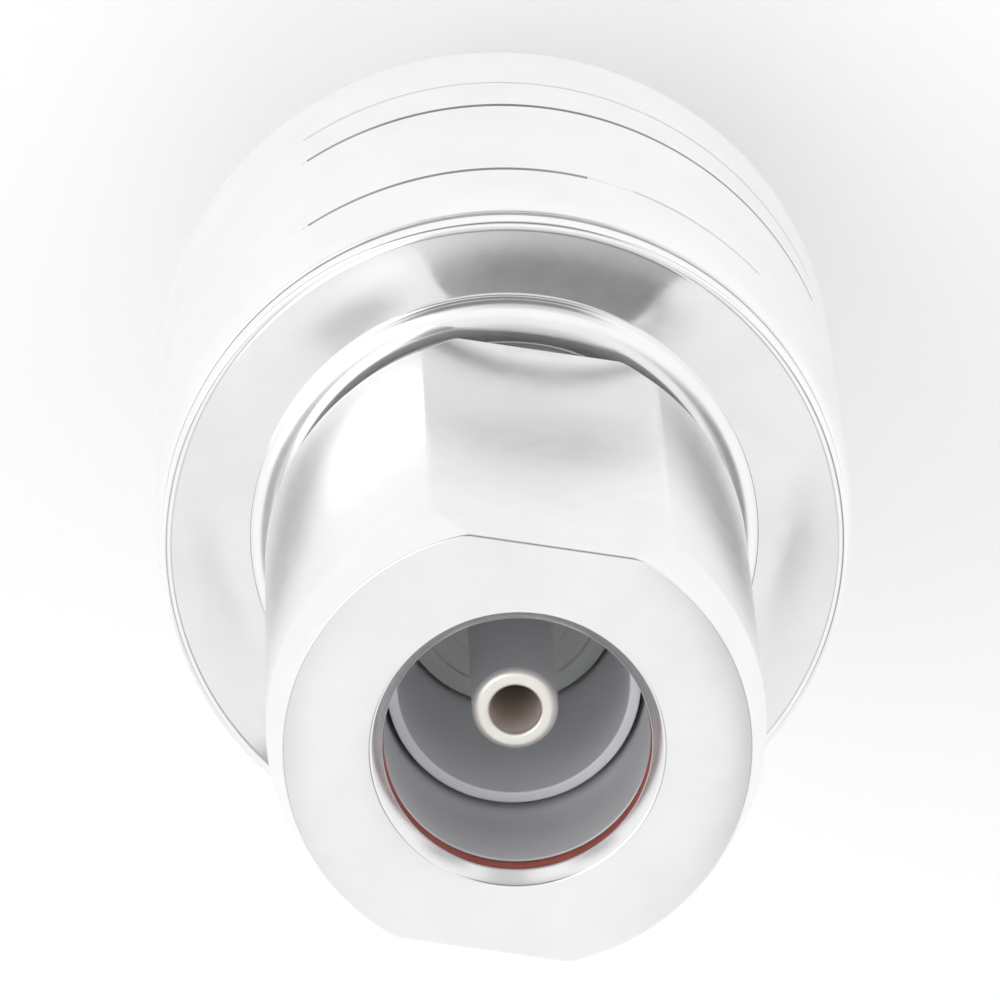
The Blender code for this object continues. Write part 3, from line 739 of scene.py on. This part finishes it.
def contact_mesh(name, low_z, high_z, radius, up):
    """A round contact with a rounded lip and a deep hole, its tip up or down."""
    length = high_z - low_z
    points = [
        (0.0, length - HOLE_DEPTH),
        (HOLE_R, length - HOLE_DEPTH),
        (HOLE_R, length - HOLE_ROUND),
        *arc_points(
            (HOLE_R + HOLE_ROUND, length - HOLE_ROUND),
            (HOLE_ROUND, HOLE_ROUND),
            math.pi,
            math.pi / 2,
            steps=5,
        )[1:],
        *arc_points(
            (radius - LIP_ROUND, length - LIP_ROUND),
            (LIP_ROUND, LIP_ROUND),
            math.pi / 2,
            0.0,
            steps=8,
        ),
        (radius, 0.0),
        (0.0, 0.0),
    ]
    rows = loop_rows(points, CONTACT_COLUMNS)
    mesh = mesh_from_rows(name, rows, angles(CONTACT_COLUMNS), closed=False)
    if up:
        mesh.transform(Matrix.Translation((0, 0, low_z)))
    else:
        flip = Matrix.Rotation(math.pi, 4, "X")
        mesh.transform(Matrix.Translation((0, 0, high_z)) @ flip)
    return mesh


contact_low, contact_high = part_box("socket_contact")
pin = add_piece(
    "socket_pin",
    contact_mesh(
        "socket_pin", contact_low.z, contact_high.z, contact_high.x, up=True
    ),
    TIP_PAINTED_HIGHLIGHT,
    "body",
    ["socket_contact"],
)
# Below its pale lip the contact is painted greyer: painted shade under a painted highlight on
# one metal
paint(pin, PIN_PAINTED_SHADE, lambda r, z: z < contact_high.z - TIP_LENGTH)
# The inside of the contact's hole gets the painted shade
paint(
    pin,
    HOLE_PAINTED_SHADE,
    lambda r, z: r < HOLE_LOOK_R and z < contact_high.z - HOLE_LOOK_DEPTH,
)

rear_low, rear_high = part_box("rear_contact")
slots = [
    (
        box_mesh(SLOT_BOX),
        Matrix.Translation((0, 0, rear_low.z + SLOT_MIDDLE))
        @ Matrix.Rotation(math.pi / 4 + i * math.pi / 2, 4, "Z"),
    )
    for i in range(2)
]
rear_socket = contact_mesh(
    "rear_socket", rear_low.z, rear_high.z, REAR_CONTACT_R, up=False
)
add_piece(
    "rear_socket",
    cut_away(rear_socket, slots),
    GOLD,
    "body",
    ["rear_contact"],
)
insulator_low, insulator_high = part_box("rear_insulator")
add_piece(
    "rear_bead",
    insulator_mesh("rear_bead", insulator_low, insulator_high, face_up=False),
    RESIN,
    "body",
    ["rear_insulator"],
)

# Drum housing

DRUM_R = 12.75 * MM
SHOULDER_STEP = 0.3 * MM
SHOULDER_HEIGHT = 1.7 * MM
SHOULDER_STEPS = 12
DRUM_REAR_ROUND = 1.3 * MM
DRUM_REAR_BORE_R = 6.0 * MM
CAVITY_R = 8.0 * MM
SPIGOT_BORE_R = SPIGOT_R + GAP
DRUM_COLUMNS = 360
LINE_DEPTH = 0.10 * MM
LINE_HALF = 0.13 * MM
LINE_FLOOR_HALF = 0.4 * LINE_HALF
FAINT_DEPTH = 0.4 * LINE_DEPTH
TAPER_END = 0.3
TAPER_GROWTH = 0.7
LOWER_LINE = Z_DRUM_FRONT - 4.1 * MM
UPPER_LINE = Z_DRUM_FRONT - 11.5 * MM
FAINT_LINE = Z_DRUM_FRONT - 14.1 * MM
BAND_START = math.radians(33)
UPPER_END = math.radians(-68)
LOWER_END = math.radians(-49)


def drum_mesh():
    """The turned drum. Three fine border lines, one fainter, run part of the way round."""
    around = angles(DRUM_COLUMNS)
    # Angle from -Y towards +X
    side = np.angle(np.exp(1j * (around + math.pi / 2)))
    shoulder = []
    for i in range(SHOULDER_STEPS + 1):
        a = math.pi / 2 * i / SHOULDER_STEPS
        shoulder.append(
            (
                DRUM_R - SHOULDER_STEP * (1 - math.sin(a)),
                Z_DRUM_FRONT - SHOULDER_HEIGHT * (1 - math.cos(a)),
            )
        )
    points = list(shoulder)
    for height, depth, end in (
        (LOWER_LINE, LINE_DEPTH, LOWER_END),
        (UPPER_LINE, LINE_DEPTH, UPPER_END),
        (FAINT_LINE, FAINT_DEPTH, UPPER_END),
    ):
        fade = np.where((side < BAND_START) & (side > end), 1.0, 0.0)
        if height == LOWER_LINE:
            along = (side - end) / (BAND_START - end)
            fade = fade * (TAPER_END + TAPER_GROWTH * along)
        points.append((DRUM_R, height + LINE_HALF))
        points.append((DRUM_R - depth * fade, height + LINE_FLOOR_HALF))
        points.append((DRUM_R - depth * fade, height - LINE_FLOOR_HALF))
        points.append((DRUM_R, height - LINE_HALF))
    points += arc_points(
        (DRUM_R - DRUM_REAR_ROUND, Z_DRUM_REAR + DRUM_REAR_ROUND),
        (DRUM_REAR_ROUND, DRUM_REAR_ROUND),
        0.0,
        -math.pi / 2,
        steps=10,
    )
    first_inner = len(points)
    points += [
        (DRUM_REAR_BORE_R, Z_DRUM_REAR),
        (DRUM_REAR_BORE_R, Z_CAVITY_REAR),
        (CAVITY_R, Z_CAVITY_REAR),
        (CAVITY_R, Z_SPIGOT_END - GAP),
        (SPIGOT_BORE_R, Z_SPIGOT_END - GAP),
        (SPIGOT_BORE_R, Z_DRUM_FRONT),
    ]
    keep = tuple(range(1, first_inner - 1))
    rows = soften(loop_rows(points, DRUM_COLUMNS), SOFT_EDGE, steps=3, keep=keep)
    return mesh_from_rows("drum", rows, around)


def rod_mesh(name, points, columns=96):
    """A turned rod whose profile starts and ends on the axis, with plain corners."""
    rows = loop_rows(points, columns)
    return mesh_from_rows(name, rows, angles(columns), closed=False)


Y_OUT = Matrix.Rotation(math.radians(-90), 4, "X")
gas_out = Matrix.Translation((0, 0, GAS_MIDDLE)) @ Y_OUT
GROUND_ANGLE = math.radians(45)
ground_out = (
    Matrix.Translation((0, 0, GAS_MIDDLE))
    @ Matrix.Rotation(GROUND_ANGLE, 4, "Z")
    @ Y_OUT
)
CAP_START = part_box("gas_tube_cap")[0].y
CAP_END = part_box("gas_tube_cap")[1].y
CAP_R = (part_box("gas_tube_cap")[1].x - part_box("gas_tube_cap")[0].x) / 2
PAST_DRUM = DRUM_R + MM
CAP_BORE_R = CAP_R + GAP
CAP_BEVEL_R = CAP_R + GAP + 1.2 * MM
CAP_BEVEL_END = DRUM_R - 0.2 * MM
TUBE_BED_R = 4.15 * MM
TUBE_BED_END = 2.7 * MM
SPOT_FACE = DRUM_R - 0.6 * MM
SPOT_FACE_R = 2.8 * MM
SCREW_HOLE_R = 1.4 * MM
SCREW_HOLE_END = SPOT_FACE - 2.85 * MM
LINE_LOOK_DEEP = 1.5 * LINE_DEPTH
LINE_LOOK_SHALLOW = 0.3 * LINE_DEPTH
gas_bore = rod_mesh(
    "gas_bore",
    [
        (0.0, PAST_DRUM),
        (CAP_BEVEL_R, PAST_DRUM),
        (CAP_BORE_R, CAP_BEVEL_END),
        (CAP_BORE_R, CAP_START - GAP),
        (TUBE_BED_R, CAP_START - GAP),
        (TUBE_BED_R, TUBE_BED_END),
        (0.0, TUBE_BED_END),
    ],
)
ground_hole = rod_mesh(
    "ground_hole",
    [
        (0.0, PAST_DRUM),
        (SPOT_FACE_R, PAST_DRUM),
        (SPOT_FACE_R, SPOT_FACE),
        (SCREW_HOLE_R, SPOT_FACE),
        (SCREW_HOLE_R, SCREW_HOLE_END),
        (0.0, SCREW_HOLE_END),
    ],
)
drum = add_piece(
    "drum",
    cut_away(drum_mesh(), [(gas_bore, gas_out), (ground_hole, ground_out)]),
    SATIN,
    "body",
    ["drum_housing"],
)
# The floors of the two border lines are painted dark: painted shade in the grooves
paint(
    drum,
    GROOVE_PAINTED_SHADE,
    lambda r, z: DRUM_R - LINE_LOOK_DEEP < r < DRUM_R - LINE_LOOK_SHALLOW
    and min(abs(z - line) for line in (LOWER_LINE, UPPER_LINE)) < LINE_HALF,
)

# Cap and ground screw

CAP_EDGE = 0.25 * MM
CAP_SLOT_BOX = (12 * MM, 1.2 * MM, 1.9 * MM)
CAP_SLOT_ABOVE = 0.05 * MM
cap_mesh = turned_mesh(
    "tube_cap",
    [
        (0.0, CAP_END),
        (CAP_R - CAP_EDGE, CAP_END),
        (CAP_R, CAP_END - CAP_EDGE),
        (CAP_R, CAP_START),
        (0.0, CAP_START),
    ],
    columns=160,
    size=SOFT_EDGE,
    steps=3,
    closed=False,
)
cap_slot = (
    box_mesh(CAP_SLOT_BOX),
    Matrix.Translation((0, 0, CAP_END + CAP_SLOT_ABOVE)),
)
cap_mesh = cut_away(cap_mesh, [cap_slot])
cap_mesh.transform(gas_out)
add_piece(
    "tube_cap",
    cap_mesh,
    PLATED,
    "body",
    ["gas_tube_cap", "cap_seal_ring"],
)

WASHER_BASE = SPOT_FACE + GAP
WASHER_TOP = WASHER_BASE + 0.6 * MM
WASHER_R = 2.3 * MM
WASHER_BORE_R = 1.4 * MM
WASHER_GAP_BOX = (0.5 * MM, 4.6 * MM, 1.6 * MM)
WASHER_MIDDLE = WASHER_BASE + 0.3 * MM
WASHER_SOFT = 0.1 * MM
washer_mesh = turned_mesh(
    "split_washer",
    [
        (WASHER_R, WASHER_TOP),
        (WASHER_R, WASHER_BASE),
        (WASHER_BORE_R, WASHER_BASE),
        (WASHER_BORE_R, WASHER_TOP),
    ],
    columns=96,
    size=WASHER_SOFT,
    steps=3,
)
washer_gap = (
    box_mesh(WASHER_GAP_BOX),
    Matrix.Translation((0, WASHER_R, WASHER_MIDDLE)),
)
washer_mesh = cut_away(washer_mesh, [washer_gap])
washer_mesh.transform(ground_out)
add_piece(
    "split_washer", washer_mesh, SPRING, "body", ["ground_lock_washer"]
)

HEAD_BASE = WASHER_TOP + GAP
HEAD_TOP = HEAD_BASE + 1.4 * MM
HEAD_R = 2.25 * MM
HEAD_ROUND = 0.9 * MM
HEAD_ROUND_CENTRE = (1.35 * MM, HEAD_BASE + 0.5 * MM)
HEAD_BASE_R = 2.19 * MM
HEAD_BASE_EDGE = 0.06 * MM
SHANK_R = 1.25 * MM
SHANK_TIP_R = 1.0 * MM
SHANK_END = HEAD_BASE - 3.2 * MM
SHANK_TIP_END = HEAD_BASE - 3.45 * MM
SCREW_SLOT_BOX = (7 * MM, 0.65 * MM, 1.6 * MM)
SCREW_SLOT_ABOVE = 0.2 * MM
screw_mesh = rod_mesh(
    "earth_screw",
    [
        (0.0, HEAD_TOP),
        *arc_points(
            HEAD_ROUND_CENTRE, (HEAD_ROUND, HEAD_ROUND), math.pi / 2, 0.0, 10
        ),
        (HEAD_R, HEAD_BASE + HEAD_BASE_EDGE),
        (HEAD_BASE_R, HEAD_BASE),
        (SHANK_R, HEAD_BASE),
        (SHANK_R, SHANK_END),
        (SHANK_TIP_R, SHANK_TIP_END),
        (0.0, SHANK_TIP_END),
    ],
)
screw_slot = (
    box_mesh(SCREW_SLOT_BOX),
    Matrix.Translation((0, 0, HEAD_TOP + SCREW_SLOT_ABOVE)),
)
screw_mesh = cut_away(screw_mesh, [screw_slot])
screw_mesh.transform(ground_out)
add_piece("earth_screw", screw_mesh, STEEL, "body", ["ground_screw"])

# Rear barrel and hardware

THREAD_R = 7.94 * MM
THREAD_PITCH = 25.4 / 24 * MM
THREAD_DEPTH = 0.55 * MM
THREAD_START = 0.35 * MM
THREAD_STOP = Z_DRUM_REAR - GAP - 0.9 * MM
THREAD_FADE = 1.0 * MM
THREAD_ROWS = 10
FLANK_SLOPE = 2.3
CREST_SHARE = 0.08
LEAD_IN = 0.75 * MM
LEAD_SLOPE = 0.9
RELIEF_R = THREAD_R - 0.1 * MM
RELIEF_END = THREAD_STOP + 0.35 * MM
PORT_CHAMFER = (THREAD_R - 0.6 * MM, 0.05 * MM)
PORT_FACE_R = THREAD_R - 0.65 * MM
PORT_MOUTH_R = 4.55 * MM
PORT_BEVEL = (4.5 * MM, 0.03 * MM)
PORT_BEVEL_END = 0.45 * MM
PORT_SPIGOT_R = 5.85 * MM
PORT_GROOVE_R = 4.95 * MM
REAR_BORE_R = 4.05 * MM
PORT_COLUMNS = 192
Z_REAR_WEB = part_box("rear_insulator")[1].z + GAP
REAR_SEAL_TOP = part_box("rear_seal_ring")[1].z + GAP
REAR_SEAL_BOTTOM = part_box("rear_seal_ring")[0].z - GAP


def rear_barrel_mesh():
    """The bulkhead port, its helical thread fading out at both ends."""
    around = angles(PORT_COLUMNS)
    start = THREAD_START
    end = THREAD_STOP
    outer = [
        (PORT_SPIGOT_R, Z_CAVITY_REAR),
        (PORT_SPIGOT_R, REAR_SEAL_TOP),
        (PORT_GROOVE_R, REAR_SEAL_TOP),
        (PORT_GROOVE_R, REAR_SEAL_BOTTOM),
        (PORT_SPIGOT_R, REAR_SEAL_BOTTOM),
        (PORT_SPIGOT_R, Z_DRUM_REAR - GAP),
        (RELIEF_R, Z_DRUM_REAR - GAP),
        (RELIEF_R, RELIEF_END),
    ]
    steps = int((end - start) / (THREAD_PITCH / THREAD_ROWS))
    for i in range(steps + 1):
        z = end + (start - end) * i / steps
        phase = (z / THREAD_PITCH - around / (2 * math.pi)) % 1.0
        ridge = np.clip(FLANK_SLOPE * np.abs(phase - 0.5) - CREST_SHARE, 0.0, 1.0)
        run_in = min(1.0, (z - start) / THREAD_FADE)
        run_out = min(1.0, (end - z) / THREAD_FADE)
        depth = THREAD_DEPTH * ridge * max(0.0, min(run_in, run_out))
        edge = max(0.0, LEAD_IN - z) * LEAD_SLOPE
        outer.append((THREAD_R - depth - edge, z))
    points = outer + [
        PORT_CHAMFER,
        (PORT_FACE_R, 0.0),
        (PORT_MOUTH_R, 0.0),
        PORT_BEVEL,
        (REAR_BORE_R, PORT_BEVEL_END),
        (REAR_BORE_R, Z_REAR_WEB),
        (WEB_R, Z_REAR_WEB),
        (WEB_R, Z_CAVITY_REAR),
    ]
    return mesh_from_rows("rear_port", loop_rows(points, PORT_COLUMNS), around)


rear_port = add_piece(
    "rear_port",
    rear_barrel_mesh(),
    PLATED,
    "body",
    ["rear_barrel"],
    sharp=50.0,
)
paint(rear_port, BORE_METAL, lambda r, z: r < REAR_BORE_R + LOOK_MARGIN)

PANEL_BORE_R = THREAD_R + GAP
PANEL_GASKET_SOFT = 0.25 * MM
low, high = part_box("bulkhead_gasket")
gasket_profile = [
    (high.x, high.z),
    (high.x, low.z),
    (PANEL_BORE_R, low.z),
    (PANEL_BORE_R, high.z),
]
add_piece(
    "panel_gasket",
    turned_mesh("panel_gasket", gasket_profile, 192, PANEL_GASKET_SOFT),
    RUBBER,
    "body",
    ["bulkhead_gasket"],
)

low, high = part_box("bulkhead_lock_washer")
TEETH = 12
TOOTH_HALF = 0.26
TOOTH_FLANK = 0.02
TOOTH_ROOT_R = 9.25 * MM
TOOTH_HEIGHT = 1.05 * MM
TOOTH_COLUMNS = 360


def lock_washer_mesh():
    """A thin ring with square teeth round its outer edge."""
    around = angles(TOOTH_COLUMNS)
    share = ((around - math.pi / 2) * TEETH / (2 * math.pi)) % 1.0
    from_middle = np.minimum(share, 1.0 - share)
    tooth = np.clip((TOOTH_HALF - from_middle) / TOOTH_FLANK, 0.0, 1.0)
    outer = TOOTH_ROOT_R + TOOTH_HEIGHT * tooth
    points = [
        (outer, high.z),
        (outer, low.z),
        (PANEL_BORE_R, low.z),
        (PANEL_BORE_R, high.z),
    ]
    rows = soften(loop_rows(points, TOOTH_COLUMNS), SOFT_EDGE, steps=2)
    return mesh_from_rows("toothed_washer", rows, around)


add_piece(
    "toothed_washer",
    lock_washer_mesh(),
    PLATED,
    "body",
    ["bulkhead_lock_washer"],
)

low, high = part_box("bulkhead_nut")
PANEL_NUT_BEVEL = 0.35 * MM


def hex_radius(around, half_flat, corner_r):
    """The outline of a hexagon with rounded corners and a flat towards -Y."""
    local = around + math.pi / 2
    phi = np.abs((local + math.pi / 6) % (math.pi / 3) - math.pi / 6)
    centre = (half_flat - corner_r) / math.cos(math.pi / 6)
    tangent = math.atan((half_flat - corner_r) * math.tan(math.pi / 6) / half_flat)
    delta = math.pi / 6 - phi
    arc = centre * np.cos(delta) + np.sqrt(
        np.maximum(corner_r**2 - (centre * np.sin(delta)) ** 2, 0.0)
    )
    return np.where(phi < tangent, half_flat / np.cos(phi), arc)


def hex_columns(per_flat, per_corner, half_flat, corner_r):
    """Angles that are close together at the rounded corners."""
    tangent = math.atan((half_flat - corner_r) * math.tan(math.pi / 6) / half_flat)
    out = []
    for side in range(6):
        middle = -math.pi / 2 + side * math.pi / 3
        out.extend(np.linspace(-tangent, tangent, per_flat, endpoint=False) + middle)
        corner = np.linspace(
            tangent, math.pi / 3 - tangent, per_corner, endpoint=False
        )
        out.extend(corner + middle)
    return np.array(out)


def hex_outer(around, half_flat, corner_r, face_r, slope, top, bottom):
    """Face edge, chamfer and side of a hexagonal nut, per column."""
    radius = hex_radius(around, half_flat, corner_r)
    face = np.minimum(radius - NUT_EDGE, face_r)
    drop = np.maximum((radius - face) * slope, NUT_EDGE_DROP)
    return [
        (face, top),
        (radius, top - drop),
        (radius, bottom + drop),
        (face, bottom),
    ]


def panel_nut_mesh():
    """The hexagonal nut of the bulkhead port, chamfered at both faces."""
    half_flat = 9.5 * MM
    corner_r = 0.35 * MM
    face_r = 9.3 * MM
    around = hex_columns(per_flat=26, per_corner=10, half_flat=half_flat, corner_r=corner_r)
    slope = math.tan(math.radians(30))
    points = hex_outer(around, half_flat, corner_r, face_r, slope, high.z, low.z)
    points += [
        (PANEL_BORE_R + PANEL_NUT_BEVEL, low.z),
        (PANEL_BORE_R, low.z + PANEL_NUT_BEVEL),
        (PANEL_BORE_R, high.z - PANEL_NUT_BEVEL),
        (PANEL_BORE_R + PANEL_NUT_BEVEL, high.z),
    ]
    rows = soften(loop_rows(points, len(around)), SOFT_EDGE, steps=3)
    return mesh_from_rows("panel_nut", rows, around)


add_piece("panel_nut", panel_nut_mesh(), PLATED, "body", ["bulkhead_nut"])

# Hidden pieces, shown as packed with better materials

for node, look in (
    ("nut_retaining_ring", SPRING),
    ("front_seal_ring", RUBBER),
    ("inner_conductor", GOLD),
    ("gas_tube", CERAMIC),
    ("gas_tube_spring", SPRING),
    ("rear_seal_ring", RUBBER),
):
    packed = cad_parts[node]
    packed.data.materials.clear()
    packed.data.materials.append(look)

# Floor

FLOOR_HALF = 3.0
FLOOR_COLOUR = (0.93, 0.93, 0.93)
FLOOR_ROUGHNESS = 0.6
FLOOR_SPECULAR = 0.2
FLOOR_GLOW = 0.16
floor_mesh = bpy.data.meshes.new("floor")
floor_mesh.from_pydata(
    [
        (-FLOOR_HALF, -FLOOR_HALF, 0.0),
        (FLOOR_HALF, -FLOOR_HALF, 0.0),
        (FLOOR_HALF, FLOOR_HALF, 0.0),
        (-FLOOR_HALF, FLOOR_HALF, 0.0),
    ],
    [],
    [(0, 1, 2, 3)],
)
floor = bpy.data.objects.new("floor", floor_mesh)
bpy.context.scene.collection.objects.link(floor)
floor_look, floor_tree, floor_shader = start_material(
    "pale_floor", FLOOR_COLOUR, FLOOR_ROUGHNESS, 0.0
)
floor_shader.inputs["Specular IOR Level"].default_value = FLOOR_SPECULAR
floor_shader.inputs["Emission Color"].default_value = (1.0, 1.0, 1.0, 1.0)

# The floor glows for camera, glossy and transmission rays alone
path = floor_tree.nodes.new("ShaderNodeLightPath")
seen = path.outputs["Is Camera Ray"]
for ray in ("Is Glossy Ray", "Is Transmission Ray"):
    either = floor_tree.nodes.new("ShaderNodeMath")
    either.operation = "MAXIMUM"
    floor_tree.links.new(seen, either.inputs[0])
    floor_tree.links.new(path.outputs[ray], either.inputs[1])
    seen = either.outputs["Value"]
glow = map_range(floor_tree, seen, 0.0, 1.0, 0.0, FLOOR_GLOW)
floor_tree.links.new(glow, floor_shader.inputs["Emission Strength"])
floor_mesh.materials.append(floor_look)

# Studio

BEHIND_LOSS = 0.76
GAP_LOSS_LOW_X = 0.70
GAP_LOSS_HIGH_X = 0.54
STAND_LOSS = 0.34
CORNER_LOSS = 0.60
STAND_ASIDE = 0.13
world = bpy.data.worlds.new("studio")
bpy.context.scene.world = world
world.use_nodes = True
tree = world.node_tree
tree.nodes.clear()
where = tree.nodes.new("ShaderNodeTexCoord")
parts = tree.nodes.new("ShaderNodeSeparateXYZ")
tree.links.new(where.outputs["Generated"], parts.inputs["Vector"])


def math_node(operation, first, second=None):
    """A math node whose inputs are sockets or numbers."""
    node = tree.nodes.new("ShaderNodeMath")
    node.operation = operation
    for value, socket in zip((first, second), node.inputs):
        if value is None:
            continue
        if isinstance(value, (int, float)):
            socket.default_value = value
        else:
            tree.links.new(value, socket)
    return node.outputs["Value"]


def product(values):
    """All of the values multiplied together."""
    total = values[0]
    for value in values[1:]:
        total = math_node("MULTIPLY", total, value)
    return total


# A white studio with four darker parts, placed by direction
x, y, z = (parts.outputs[axis] for axis in "XYZ")
sideways = math_node("ABSOLUTE", x)

# Lower down on the camera's side
behind = product(
    [
        map_range(tree, y, -0.66, -0.50, BEHIND_LOSS, 0.0),
        map_range(tree, z, 0.32, 0.40, 0.0, 1.0),
        map_range(tree, sideways, 0.36, 0.50, 1.0, 0.0),
    ]
)

# Overhead, between the back panel and the two side panels
gaps = product(
    [
        map_range(tree, sideways, 0.13, 0.28, 0.0, 1.0),
        map_range(tree, sideways, 0.48, 0.62, 1.0, 0.0),
        map_range(tree, y, -0.05, 0.15, 0.0, 1.0),
        map_range(tree, y, 0.45, 0.58, 1.0, 0.0),
        map_range(tree, x, -0.1, 0.1, GAP_LOSS_LOW_X, GAP_LOSS_HIGH_X),
    ]
)

# Where the camera's stand is
aside = math_node("ABSOLUTE", math_node("ADD", x, STAND_ASIDE))
stand = product(
    [
        map_range(tree, y, -0.42, -0.30, STAND_LOSS, 0.0),
        map_range(tree, aside, 0.12, 0.28, 1.0, 0.0),
    ]
)

# Low in the four corners
turns = math_node("COSINE", math_node("MULTIPLY", math_node("ARCTAN2", y, x), 4.0))
corners = product(
    [
        map_range(tree, turns, -0.95, -0.35, CORNER_LOSS, 0.0),
        map_range(tree, z, 0.12, 0.22, 1.0, 0.0),
    ]
)

# The darkest part counts where two overlap
loss = behind
for darker in (stand, gaps, corners):
    loss = math_node("MAXIMUM", loss, darker)
around_it = tree.nodes.new("ShaderNodeBackground")
around_it.inputs["Color"].default_value = (1.0, 1.0, 1.0, 1.0)
tree.links.new(math_node("SUBTRACT", 1.0, loss), around_it.inputs["Strength"])
out = tree.nodes.new("ShaderNodeOutputWorld")
tree.links.new(around_it.outputs["Background"], out.inputs["Surface"])

SUN_FROM = (0.55, -0.30, 0.80)
SUN_ENERGY = 0.4
SUN_ANGLE = math.radians(40)
sun_data = bpy.data.lights.new("soft_key", "SUN")
sun_data.energy = SUN_ENERGY
sun_data.angle = SUN_ANGLE
sun = bpy.data.objects.new("soft_key", sun_data)
bpy.context.scene.collection.objects.link(sun)
sun.rotation_euler = Vector(SUN_FROM).to_track_quat("Z", "Y").to_euler()

# Camera, turned and rolled as in the photo

TILT = math.radians(20.65)
TURN = math.radians(2.505)
ROLL = math.radians(176.457)
DISTANCE = 412.17 * MM
TARGET_HEIGHT = 35.45 * MM
AIM_LEFT = 0.2486 * MM
AIM_UP = 2.698 * MM
FOCAL_LENGTH = 410.22
SENSOR_WIDTH = 36.0
back = Vector(
    (
        math.sin(TILT) * math.sin(TURN),
        -math.sin(TILT) * math.cos(TURN),
        math.cos(TILT),
    )
)
level_up = (Vector((0, 0, 1)) - back * back.z).normalized()
level_right = (-back).cross(level_up)
right = level_right * math.cos(ROLL) + level_up * math.sin(ROLL)
up = level_up * math.cos(ROLL) - level_right * math.sin(ROLL)
target = Vector((0, 0, TARGET_HEIGHT))
aim = target - right * AIM_LEFT + up * AIM_UP
eye = target + back * DISTANCE
look_back = (eye - aim).normalized()
true_right = up.cross(look_back).normalized()
true_up = look_back.cross(true_right)
camera_data = bpy.data.cameras.new("camera")
camera_data.lens = FOCAL_LENGTH
camera_data.sensor_width = SENSOR_WIDTH
camera_data.clip_start = 0.01
camera_data.clip_end = 20
camera = bpy.data.objects.new("camera", camera_data)
bpy.context.scene.collection.objects.link(camera)
turn = Matrix((true_right, true_up, look_back)).transposed()
camera.matrix_world = Matrix.Translation(eye) @ turn.to_4x4()
bpy.context.scene.camera = camera
bpy.context.scene.view_settings.view_transform = "Standard"
